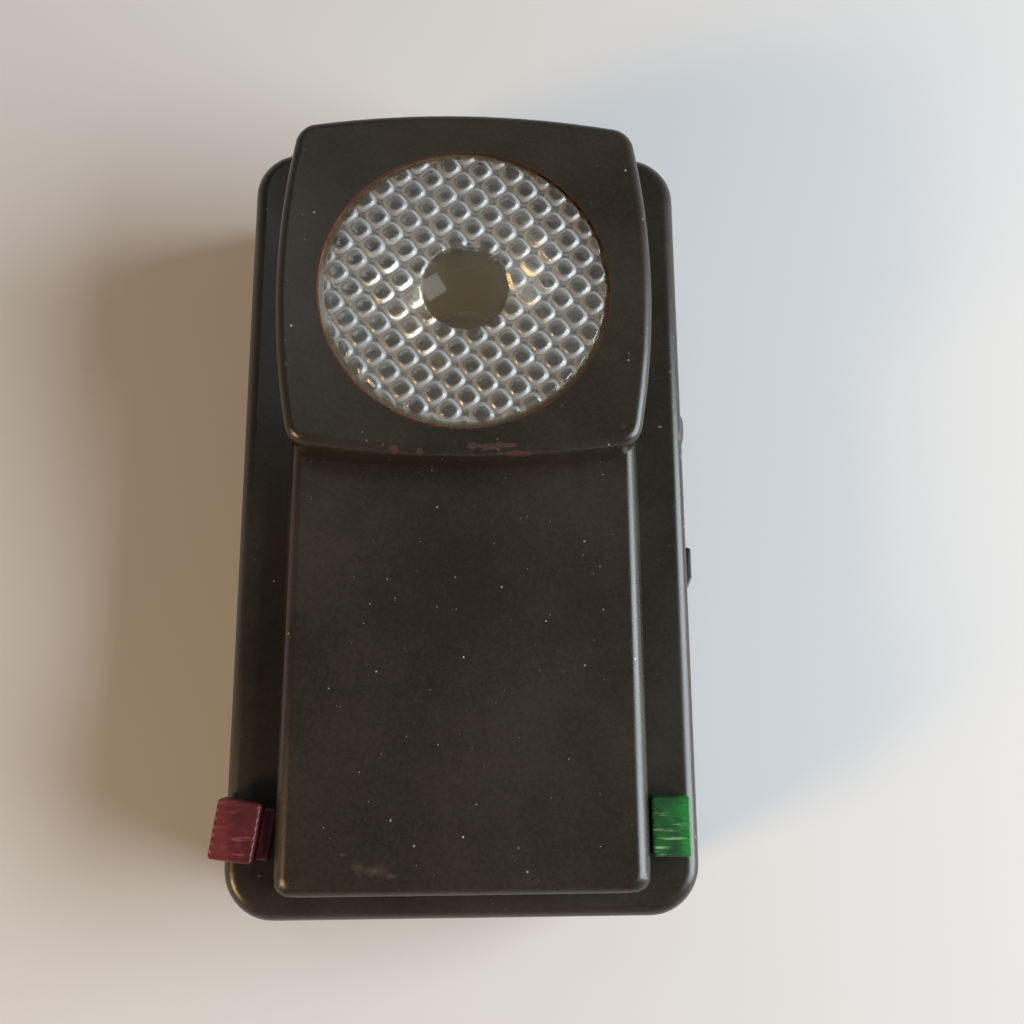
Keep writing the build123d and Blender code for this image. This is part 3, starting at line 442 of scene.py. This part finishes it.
def lens_relief(x, y):
    """Height above the lens's face. A pad is a low crown, a fifth of its ring number squared,
    with a side that falls as a smooth step to the groove's flat bottom. The pads stop short
    of the rim, and inside the bullseye the face is one low dome."""
    ring = pad_ring(x, y)
    side = np.clip((ring - 0.58) / 0.4, 0, 1)
    pad = 1 - 0.2 * ring**2 - 0.8 * side**2 * (3 - 2 * side)
    radius = np.hypot(x, y)
    off_pattern = np.hypot(x - pattern_shift[0], y - pattern_shift[1])
    edge = np.clip((pattern_radius - off_pattern) / (0.3 * mm), 0, 1)
    edge = edge * np.clip((radius - bullseye_radius) / (0.2 * mm), 0, 1)
    dome = np.clip(1 - (radius / bullseye_radius) ** 2, 0, 1)
    return pad_height * np.where(radius < bullseye_radius, dome, pad * edge)


def slab(name, x, y, top, bottom, kept=None):
    """A closed piece between two height fields over the same grid of places: the top, the
    bottom turned over, and a wall on every edge that only one kept cell has."""
    number = np.arange(x.size).reshape(x.shape)
    cells = (number[:-1, :-1], number[1:, :-1], number[1:, 1:], number[:-1, 1:])
    if kept is None:
        kept = np.ones(cells[0].shape, bool)
    front = np.stack([cell[kept] for cell in cells], 1)
    back = front[:, ::-1] + x.size
    edges = np.stack([front, np.roll(front, -1, 1)], 2).reshape(-1, 2)
    label = np.sort(edges, 1) @ np.array([x.size, 1])
    _, first, count = np.unique(label, return_index=True, return_counts=True)
    low, high = edges[first[count == 1]].T
    wall = np.stack([high, low, low + x.size, high + x.size], 1)
    used, place = np.unique(np.concatenate([front, back, wall]), return_inverse=True)
    corners = np.concatenate([np.stack([x, y, z], 2).reshape(-1, 3) for z in (top, bottom)])
    return skin(name, corners[used], place.reshape(-1, 4))


# A grid along the pads' own directions, pulled in to the lens's edge
reach = int(np.ceil(lens_radius / pad_pitch)) * steps_per_pad
ticks = np.arange(-reach, reach + 1) * pad_pitch / steps_per_pad
across, along = np.meshgrid(ticks, ticks, indexing="ij")
x = across * np.cos(pad_turn) - along * np.sin(pad_turn)
y = across * np.sin(pad_turn) + along * np.cos(pad_turn)
radius = np.hypot(x, y)
pull = np.minimum(1, lens_radius / np.maximum(radius, 1e-9))
x, y = x * pull, y * pull
inside = radius < lens_radius
kept = inside[:-1, :-1] | inside[1:, :-1] | inside[:-1, 1:] | inside[1:, 1:]
top = lens_face + lens_relief(x, y)
lens_disc = slab("lens_disc", x, y + lamp_y, top, np.full_like(x, lens_back), kept)
lens_disc.data.set_sharp_from_angle(angle=1.0)

# The ring number goes with the mesh, for the material, and is 0 off the pads
points = np.zeros(len(lens_disc.data.vertices) * 3, np.float32)
lens_disc.data.vertices.foreach_get("co", points)
x, y, _ = points.reshape(-1, 3).T
radius = np.hypot(x, y - lamp_y)
off_pads = (radius < bullseye_radius) | (radius > pattern_radius)
rings = np.where(off_pads, 0, pad_ring(x, y - lamp_y)).astype(np.float32)
lens_disc.data.attributes.new("pad_ring", "FLOAT", "POINT").data.foreach_set("value", rings)

lens_clear, tree, shader = graph("lens_clear")
away = vector(tree, "LENGTH", from_axis(tree, place_on(tree)), out=1)
yellow = ramp(tree, away, 19.6 * mm, 20.8 * mm)
# Painted reflection: the middle of the lens is tinted warm, standing in for the browned bowl and
# the brass cap seen through the bullseye
middle = ramp(tree, away, 7.0 * mm, 5.5 * mm)
clear = blend(tree, middle, colour(246, 246, 242), colour(234, 224, 194))
feed(shader, "Base Color", blend(tree, yellow, clear, colour(208, 190, 150)))
# The moulding has gone a little milky, most on the pads' sides
pad = wire(tree, "ShaderNodeAttribute", out=2, attribute_name="pad_ring")
haze = calc(tree, "MULTIPLY", ramp(tree, pad, 0.5, 0.8), ramp(tree, pad, 1.02, 0.94))
milky = calc(tree, "MULTIPLY_ADD", haze, 0.26, calc(tree, "MULTIPLY_ADD", yellow, 0.12, 0.05))
feed(shader, "Transmission Weight", calc(tree, "SUBTRACT", 1.0, milky))
feed(shader, "Roughness", calc(tree, "MULTIPLY_ADD", haze, 0.10, 0.04))
shader.inputs["IOR"].default_value = 1.49
lens_disc.data.materials.append(lens_clear)
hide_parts("lens")
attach(lens_disc, "case")

# ---------------------------------------------------------------- reflector
# Spun brass bowl, polished and silvered inside, with a flat flange and a short neck.
bowl_rim = opening_radius
bowl_flange = 22.95 * mm
bowl_top = 24.4 * mm
bowl_depth = 14.5 * mm
bowl_sheet = 0.4 * mm
neck_radius = 5.4 * mm
neck_length = 3.0 * mm


def net(points):
    """The four-cornered faces of a grid of points whose rows are closed rings, from each ring
    to the next, with the points' own numbers."""
    number = np.arange(points.shape[0] * points.shape[1]).reshape(points.shape[:2])
    near, far = number[:-1], number[1:]
    faces = [near, np.roll(near, -1, 1), np.roll(far, -1, 1), far]
    return np.stack(faces, 2).reshape(-1, 4)


def spin(name, profile, turns=120):
    """A closed profile of (radius, height) pairs carried round the lamp's axis: x is radius
    times the cosine of the turn and y the lamp's y plus radius times its sine."""
    profile = np.asarray([*profile, profile[0]], float)
    radius, height = profile[:, :1], profile[:, 1:]
    turn = np.linspace(0, 2 * np.pi, turns, endpoint=False)
    rings = [radius * np.cos(turn), lamp_y + radius * np.sin(turn), height + 0 * turn]
    points = np.stack(rings, 2)
    return skin(name, points.reshape(-1, 3), net(points))


bowl_radii = np.linspace(neck_radius, bowl_rim, 40)
parabola = bowl_top - bowl_depth + bowl_radii**2 * bowl_depth / bowl_rim**2
neck_end = parabola[0] - neck_length
inner = np.stack([bowl_radii, parabola], 1)
outer = np.stack([bowl_radii + bowl_sheet / 2, parabola - bowl_sheet], 1)[::-1]
bowl = spin("bowl", [
    *inner,
    (bowl_flange, bowl_top),
    (bowl_flange, bowl_top - bowl_sheet),
    *outer,
    (neck_radius + bowl_sheet, neck_end),
    (neck_radius, neck_end),
])
bowl.data.set_sharp_from_angle(angle=0.6)
silvering, tree, shader = graph("silvered_bowl")
where = place_on(tree)
stain = cloudy(tree, where, 160.0, 5.0, 0.6)
silver = blend(tree, ramp(tree, stain, 0.45, 0.75), colour(226, 225, 220), colour(176, 168, 150))
# Heat has browned the silver round the bulb
away = vector(tree, "LENGTH", from_axis(tree, where), out=1)
away = calc(tree, "MULTIPLY_ADD", stain, 8.0 * mm, away)
browned = ramp(tree, away, 19.0 * mm, 11.0 * mm)
feed(shader, "Base Color", blend(tree, browned, silver, colour(186, 146, 70)))
feed(shader, "Metallic", calc(tree, "MULTIPLY_ADD", browned, -0.6, 1.0))
dulled = ramp(tree, stain, 0.35, 0.75, 0.07, 0.2)
feed(shader, "Roughness", calc(tree, "MULTIPLY_ADD", browned, 0.15, dulled))
bowl.data.materials.append(silvering)
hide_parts("reflector")
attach(bowl, "case")

# ---------------------------------------------------------------- bulb
# Screw-base bulb: a blown envelope, two support wires with a coiled filament, a rolled
# brass thread and a solder tip.
filament_z = 17.54 * mm
base_top = 13.34 * mm
glass_radius = 5.0 * mm
glass_wall = 0.35 * mm
glass_neck = 3.4 * mm


def envelope(ball, throat):
    """Points up the outside of a ball that stands on a round neck, from neck to crown."""
    angle = np.linspace(-np.arccos(throat / ball), np.pi / 2, 40)
    arc = np.stack([ball * np.cos(angle), filament_z + ball * np.sin(angle)], 1)
    return np.concatenate([[(throat, base_top)], arc])


glass = np.concatenate([
    envelope(glass_radius, glass_neck),
    envelope(glass_radius - glass_wall, glass_neck - glass_wall)[::-1],
])
glass[glass[:, 0] < 1e-6, 0] = 0
bulb_envelope = spin("bulb_envelope", glass, 96)
bulb_clear, tree, shader = graph("bulb_clear")
smoke = ramp(tree, cloudy(tree, place_on(tree), 300.0, 3.0), 0.4, 0.75)
feed(shader, "Base Color", blend(tree, smoke, colour(250, 250, 248), colour(228, 222, 208)))
shader.inputs["Roughness"].default_value = 0.0
shader.inputs["IOR"].default_value = 1.45
shader.inputs["Transmission Weight"].default_value = 1.0
bulb_envelope.data.materials.append(bulb_clear)
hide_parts("bulb_glass")
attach(bulb_envelope, "case")


def tube(name, path, radius, sides=10):
    """A round wire along a path of points: at each point a ring of that radius, square to
    the path, whose first direction is square to one fixed guide, and a point at each end."""
    path = np.asarray(path, float)
    along = np.gradient(path, axis=0)
    along /= np.linalg.norm(along, axis=1)[:, None]
    guide = np.cross(along, np.array([0.31, 0.17, 0.93]))
    guide /= np.linalg.norm(guide, axis=1)[:, None]
    other = np.cross(along, guide)
    turn = np.linspace(0, 2 * np.pi, sides, endpoint=False)[None, :, None]
    rings = path[:, None] + radius * (guide[:, None] * np.cos(turn) + other[:, None] * np.sin(turn))
    start, end = (np.repeat(path[point, None, None], sides, 1) for point in (0, -1))
    rings = np.concatenate([start, rings, end])
    return skin(name, rings.reshape(-1, 3), net(rings))


coil_half = 1.5 * mm
coil_radius = 0.24 * mm
coil_wire = 0.06 * mm
coil_turns = 12
post_root = 0.8 * mm
post_wire = 0.13 * mm
bead_radius = 1.25 * mm
bead_half = 0.6 * mm
bead_z = 15.0 * mm

coil_turn = np.linspace(0, coil_turns * 2 * np.pi, coil_turns * 14)
coil = np.stack([
    np.linspace(-coil_half, coil_half, len(coil_turn)),
    lamp_y + coil_radius * np.cos(coil_turn),
    filament_z + coil_radius * np.sin(coil_turn),
], 1)
filament = tube("filament", coil, coil_wire, 6)
tungsten, tree, shader = graph("tungsten")
drawn = cloudy(tree, place_on(tree), 2500.0)
feed(shader, "Base Color", blend(tree, drawn, colour(96, 94, 92), colour(150, 147, 142)))
shader.inputs["Metallic"].default_value = 1.0
shader.inputs["Roughness"].default_value = 0.45
filament.data.materials.append(tungsten)
supports = [filament]
# Each post leans out as the square of its rise, from its root in the cap to the coil's end
rise = np.linspace(0, 1, 24)
for name, side in (("post_left", -1), ("post_right", 1)):
    post = np.stack([
        side * (post_root + (coil_half - post_root) * rise**2),
        np.full_like(rise, lamp_y),
        base_top - 1.0 * mm + (filament_z - base_top + 1.05 * mm) * rise,
    ], 1)
    supports.append(tube(name, post, post_wire, 10))
    supports[-1].data.materials.append(tungsten)
turn = np.linspace(-np.pi / 2, np.pi / 2, 16)[1:-1]
bead_profile = np.stack([bead_radius * np.cos(turn), bead_z + bead_half * np.sin(turn)], 1)
bead = spin("bulb_bead", bead_profile, 32)
bead.data.materials.append(bulb_clear)
supports.append(bead)
for piece in supports:
    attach(piece, "case")


def tarnish(name, bright, dull, low=0.22, high=0.5, scale=240.0):
    """A bare metal that has dulled in clouds: its colour goes from bright to dull, and its
    roughness from low to high, with one noise, under a fine rolled grain."""
    material, tree, shader = graph(name)
    where = place_on(tree)
    gone = ramp(tree, cloudy(tree, where, scale, 5.0, 0.65), 0.38, 0.68)
    feed(shader, "Base Color", blend(tree, gone, colour(*bright), colour(*dull)))
    feed(shader, "Roughness", calc(tree, "MULTIPLY_ADD", gone, high - low, low))
    grain = cloudy(tree, vector(tree, "MULTIPLY", where, (1, 0.06, 1)), 3000.0)
    feed(shader, "Normal", bump(tree, grain, 0.15, 0.03 * mm))
    shader.inputs["Metallic"].default_value = 1.0
    return material


def coat(node, finish):
    """Gives a CAD node's own mesh its finish."""
    nodes[node].data.materials.clear()
    nodes[node].data.materials.append(finish)


brass = tarnish("brass", (204, 170, 104), (136, 104, 60))
thread_radius = 4.8 * mm
thread_depth = 0.42 * mm
thread_pitch = 1.81 * mm
thread_fade = 0.8 * mm
cap_foot = np.array([(0, 4.34), (3.2, 4.34), (4.0, 4.45)]) * mm
cap_head = np.array([
    (4.45, 12.0), (4.8, 12.3), (4.8, 12.8), (4.5, 13.25), (3.5, 13.34), (3.0, 13.0), (0, 13.0),
]) * mm
turn = np.linspace(0, 2 * np.pi, 72, endpoint=False)
# A rolled thread: the radius falls and rises once per pitch, and that wave climbs by a
# pitch in a turn. It fades out into the plain ends of the cap.
run = np.linspace(4.9 * mm, base_top - 1.6 * mm, 84)[:, None]
whole = np.clip(np.minimum(run - run[0], run[-1] - run) / thread_fade, 0, 1)
wave = 0.5 - 0.5 * np.cos(2 * np.pi * (run / thread_pitch) - turn)
thread = thread_radius - thread_depth * (1 - whole * wave)
radii = np.concatenate([cap_foot[:, :1] + 0 * turn, thread, cap_head[:, :1] + 0 * turn])
levels = np.concatenate([cap_foot[:, 1:], run, cap_head[:, 1:]]) + 0 * turn
points = np.stack([radii * np.cos(turn), lamp_y + radii * np.sin(turn), levels], 2)
bulb_cap = skin("bulb_cap", points.reshape(-1, 3), net(points))
bulb_cap.data.set_sharp_from_angle(angle=1.1)
bulb_cap.data.materials.append(brass)
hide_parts("bulb_base")
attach(bulb_cap, "case")
coat("bulb_tip", tarnish("solder", (176, 176, 178), (120, 120, 120), 0.3, 0.5))

# ---------------------------------------------------------------- filter tabs
# Two moulded thumb pieces, cemented on the arms of the red and the green filter. Thumbs
# have worn their cross ribs down in the middle, and the red one has a low inner step.
tab_y = -45.8 * mm
tab_width = 6.0 * mm
tab_length = 8.0 * mm
tab_low = 25.85 * mm
tab_high = 29.05 * mm
tab_corner = 0.5 * mm
tab_soft = 0.45 * mm
rib_pitch = 1.1 * mm
rib_depth = 0.10 * mm


def eased(count):
    """Numbers from -1 to 1 that lie closest at their ends: the sine of even steps."""
    last = 0.94 * np.pi / 2
    return np.sin(np.linspace(-last, last, count)) / np.sin(last)


def tab(name, centre, skew, wide, long, high, ribs):
    """A block with a soft upper edge: over a grid that is closest at its edges, the height
    falls by a quarter circle within tab_soft of the outline, and by the ribs' cosine wave,
    which is whole at the two sides and a third in the middle. Corners are round."""
    half_x, half_y = wide / 2, long / 2
    x, y = np.meshgrid(eased(49) * half_x, eased(97) * half_y, indexing="ij")
    # Pulls the places past the round corners in to them
    over_x, over_y = np.abs(x) - half_x + tab_corner, np.abs(y) - half_y + tab_corner
    past = np.hypot(np.maximum(over_x, 0), np.maximum(over_y, 0))
    pull = np.where(past > tab_corner, tab_corner / np.maximum(past, 1e-12), 1)
    x = np.where(over_x > 0, np.sign(x) * (half_x - tab_corner + over_x * pull), x)
    y = np.where(over_y > 0, np.sign(y) * (half_y - tab_corner + over_y * pull), y)
    # How far inside the outline a place is
    over_x, over_y = np.abs(x) - half_x + tab_corner, np.abs(y) - half_y + tab_corner
    past = np.hypot(np.maximum(over_x, 0), np.maximum(over_y, 0))
    inside = np.minimum(np.minimum(half_x - np.abs(x), half_y - np.abs(y)), tab_corner - past)
    rim = np.maximum(tab_soft - inside, 0)
    fall = tab_soft - np.sqrt(np.maximum(tab_soft**2 - rim**2, 0))
    worn = 0.35 + 0.65 * (x / half_x) ** 2
    wave = ribs * rib_depth * worn * (0.5 + 0.5 * np.cos(2 * np.pi * y / rib_pitch))
    top = high - fall - wave * np.clip(inside / (0.3 * mm), 0, 1)
    cos, sin = np.cos(skew), np.sin(skew)
    x, y = centre[0] + x * cos - y * sin, centre[1] + x * sin + y * cos
    piece = slab(name, x, y, top, np.full_like(x, tab_low))
    piece.data.set_sharp_from_angle(angle=1.0)
    return piece


def tab_plastic(name, deep, bright, scratch, streaks, outer):
    """Coloured plastic, mottled from deep to bright, with a painted highlight that brightens it
    past x = outer, and fine scratches that run across it."""
    material, tree, shader = graph(name)
    where = place_on(tree)
    cloud = cloudy(tree, where, 420.0, 5.0, 0.6)
    lines = cloudy(tree, vector(tree, "MULTIPLY", where, streaks), 1.0, 3.0, 0.55)
    side = calc(tree, "ABSOLUTE", wire(tree, "ShaderNodeSeparateXYZ", {"Vector": where}))
    side = calc(tree, "MULTIPLY_ADD", lines, 3.0 * mm, side)
    mottled = ramp(tree, cloud, 0.3, 0.72, 0, 0.5)
    # Painted highlight: past x = outer the plastic is brightened as if its outer side caught the
    # light
    rubbed = ramp(tree, side, outer, outer + 1.6 * mm, 0, 0.6)
    mottle_and_painted_highlight = calc(tree, "ADD", mottled, rubbed, clamp=True)
    body = blend(tree, mottle_and_painted_highlight, colour(*deep), colour(*bright))
    marks = calc(tree, "MULTIPLY", ramp(tree, lines, 0.55, 0.68), ramp(tree, cloud, 0.40, 0.56))
    whitened = calc(tree, "MULTIPLY", marks, 0.75)
    feed(shader, "Base Color", blend(tree, whitened, body, colour(*scratch)))
    feed(shader, "Roughness", calc(tree, "MULTIPLY_ADD", marks, 0.3, 0.40))
    feed(shader, "Normal", bump(tree, lines, 0.4, 0.08 * mm))
    return material


red_x = -31.15 * mm
red_skew = np.radians(-8.3)
step_width = 2.1 * mm
step_length = 7.0 * mm
step_high = 27.6 * mm
step_run = (tab_width + step_width) / 2
step_centre = (red_x + step_run * np.cos(red_skew), tab_y + step_run * np.sin(red_skew))
green_x = 28.83 * mm
green_width = 5.54 * mm
red_pad = tab("red_pad", (red_x, tab_y), red_skew, tab_width, tab_length, tab_high, 1)
red_pad_step = tab("red_pad_step", step_centre, red_skew, step_width, step_length, step_high, 0)
green_pad = tab("green_pad", (green_x, tab_y), 0, green_width, tab_length, tab_high, 1)
red_paint = tab_plastic(
    "red_pad_plastic", (74, 22, 27), (112, 42, 44), (130, 66, 62), (300, 2100, 400), 32.5 * mm
)
green_paint = tab_plastic(
    "green_pad_plastic", (20, 54, 30), (30, 124, 46), (150, 180, 122), (160, 2300, 400), 30.7 * mm
)
for piece, paint, node, slot, body in (
    (red_pad, red_paint, "red_tab", "red_plastic", "red_slider"),
    (red_pad_step, red_paint, "red_tab", "red_plastic", "red_slider"),
    (green_pad, green_paint, "green_tab", "green_plastic", "green_slider"),
):
    piece.data.materials.append(paint)
    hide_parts(node)
    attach(piece, body)

# ---------------------------------------------------------------- filters and their deck
# Two blades of stained celluloid on flat arms, which slide in the deck: a tinned steel
# channel with a divider that keeps them apart. A cup of the same tinplate holds the lens.


def celluloid(name, deep, thin, painted_arm_shade):
    """Stained sheet that lets light through, with hazy rubbing marks along its travel. Its arm is
    darkened with painted shade where it comes out of the panel."""
    material, tree, shader = graph(name)
    where = place_on(tree)
    rubbed = cloudy(tree, vector(tree, "MULTIPLY", where, (900, 60, 900)), 1.0, 4.0)
    marks = ramp(tree, rubbed, 0.5, 0.75)
    side = calc(tree, "ABSOLUTE", wire(tree, "ShaderNodeSeparateXYZ", {"Vector": where}))
    # Painted shade: the arm past the panel's wall is darkened as if it lay in the panel's shadow
    out = ramp(tree, side, panel_side - 0.6 * mm, panel_side + 0.4 * mm)
    stain = blend(tree, marks, colour(*deep), colour(*thin))
    feed(shader, "Base Color", blend(tree, out, stain, colour(*painted_arm_shade)))
    feed(shader, "Roughness", calc(tree, "MULTIPLY_ADD", marks, 0.4, 0.12))
    shader.inputs["IOR"].default_value = 1.5
    shader.inputs["Transmission Weight"].default_value = 0.85
    return material


# The last colour of each is the painted shade on its arm
coat("red_filter", celluloid("red_celluloid", (192, 14, 26), (196, 70, 66), (78, 18, 22)))
coat("green_filter", celluloid("green_celluloid", (22, 168, 78), (104, 196, 130), (20, 64, 34)))
tinplate = tarnish("tinplate", (198, 199, 198), (146, 145, 140), 0.25, 0.5, 180.0)
for node in ("filter_deck", "filter_divider", "lens_cup"):
    coat(node, tinplate)

# ---------------------------------------------------------------- switch slide and morse key
# Moulded black plastic, rubbed grey where a thumb works on its edges.


def moulding(node, name, soft):
    """A copy of a CAD node's mesh with its loose corners merged and its edges rounded."""
    mesh = nodes[node].data.copy()
    mesh.name = name
    shape = bmesh.new()
    shape.from_mesh(mesh)
    bmesh.ops.remove_doubles(shape, verts=shape.verts, dist=1e-6)
    bmesh.ops.dissolve_limit(shape, angle_limit=0.02, verts=shape.verts, edges=shape.edges)
    shape.to_mesh(mesh)
    shape.free()
    mesh.materials.clear()
    mesh.polygons.foreach_set("use_smooth", np.ones(len(mesh.polygons), bool))
    piece = bpy.data.objects.new(name, mesh)
    scene.collection.objects.link(piece)
    edge = piece.modifiers.new("soft_edges", "BEVEL")
    edge.width = soft
    edge.segments = 2
    edge.limit_method = "ANGLE"
    edge.angle_limit = 0.6
    edge.harden_normals = True
    return piece


thumb_black, tree, shader = graph("thumb_black")
where = place_on(tree)
rubbed = cloudy(tree, where, 1100.0, 5.0, 0.7)
side = wire(tree, "ShaderNodeSeparateXYZ", {"Vector": where})
crown = ramp(tree, side, 34.4 * mm, 35.5 * mm)
worn = calc(tree, "MULTIPLY", crown, ramp(tree, rubbed, 0.3, 0.75, 0.15, 0.85))
feed(shader, "Base Color", blend(tree, worn, colour(34, 33, 32), colour(98, 98, 95)))
feed(shader, "Roughness", ramp(tree, rubbed, 0.3, 0.7, 0.3, 0.48))
feed(shader, "Normal", bump(tree, rubbed, 0.3, 0.06 * mm))
for node, name, body in (
    ("switch_slide", "slide_knob", "switch"),
    ("morse_key", "key_button", "key"),
):
    piece = moulding(node, name, 0.22 * mm)
    piece.data.materials.append(thumb_black)
    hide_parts(node)
    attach(piece, body)

# ---------------------------------------------------------------- battery
# A flat three-cell battery in a paper jacket, closed with black pitch at its upper end.
# The jacket's overlap runs down its back.
battery_top = 6.8 * mm
overlap_x = 4.0 * mm
overlap_half = 0.12 * mm
jacket_paper, tree, shader = graph("jacket_paper")
where = place_on(tree)
side = wire(tree, "ShaderNodeSeparateXYZ", {"Vector": where})
fibre = cloudy(tree, where, 900.0, 6.0, 0.7)
scuff = cloudy(tree, where, 70.0, 5.0, 0.65)
paper = blend(tree, ramp(tree, fibre, 0.3, 0.7), colour(70, 78, 92), colour(92, 99, 112))
paper = blend(tree, ramp(tree, scuff, 0.58, 0.78), paper, colour(126, 128, 128))
off_overlap = calc(tree, "ABSOLUTE", calc(tree, "SUBTRACT", side, overlap_x))
overlap = calc(tree, "MULTIPLY", calc(tree, "LESS_THAN", off_overlap, overlap_half), 0.7)
paper = blend(tree, overlap, paper, colour(40, 42, 48))
upper = calc(tree, "MULTIPLY_ADD", fibre, 0.5 * mm, side.node.outputs["Y"])
pitch = calc(tree, "GREATER_THAN", upper, battery_top - 0.35 * mm)
feed(shader, "Base Color", blend(tree, pitch, paper, colour(26, 24, 23)))
feed(shader, "Roughness", calc(tree, "MULTIPLY_ADD", pitch, -0.3, 0.62))
feed(shader, "Normal", bump(tree, fibre, 0.35, 0.1 * mm))
battery_case = moulding("battery", "battery_case", 0.9 * mm)
battery_case.data.materials.append(jacket_paper)
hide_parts("battery")
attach(battery_case, "case")

# ---------------------------------------------------------------- contacts, socket and hinge
# Brass strips, rivets and socket, the fibre board that holds them, the cork ring under the
# lens, and the spring steel of the hinge pin and of the springs of the cover and the key.
spring_steel = tarnish("spring_steel", (168, 170, 174), (110, 106, 100), 0.25, 0.45)

fibre_board, tree, shader = graph("fibre_board")
drawn = vector(tree, "MULTIPLY", place_on(tree), (90, 700, 500))
strands = cloudy(tree, drawn, 1.0, 6.0, 0.7)
board = blend(tree, ramp(tree, strands, 0.32, 0.68), colour(72, 42, 26), colour(116, 74, 46))
feed(shader, "Base Color", board)
feed(shader, "Normal", bump(tree, strands, 0.3, 0.08 * mm))
shader.inputs["Roughness"].default_value = 0.6

cork, tree, shader = graph("cork")
grains = wire(tree, "ShaderNodeTexVoronoi", {"Vector": place_on(tree), "Scale": 1400.0})
tint = wire(tree, "ShaderNodeSeparateColor", {"Color": grains.node.outputs["Color"]})
body = blend(tree, tint, colour(122, 84, 50), colour(178, 134, 88))
body = blend(tree, ramp(tree, grains, 0.35, 0.75), body, colour(78, 50, 30))
relief = bump(tree, grains, 0.6, 0.1 * mm)
relief.node.invert = True
feed(shader, "Base Color", body)
feed(shader, "Normal", relief)
shader.inputs["Roughness"].default_value = 0.85

for finish, carriers in (
    (brass, ("bulb_socket", "battery_long_strip", "battery_short_strip", "tip_contact",
             "side_contact", "long_rivet", "short_rivet", "switch_wiper", "key_spring")),
    (spring_steel, ("hinge_pin", "cover_spring", "key_bracket")),
    (fibre_board, ("contact_bridge",)),
    (cork, ("lens_cork",)),
):
    for node in carriers:
        coat(node, finish)
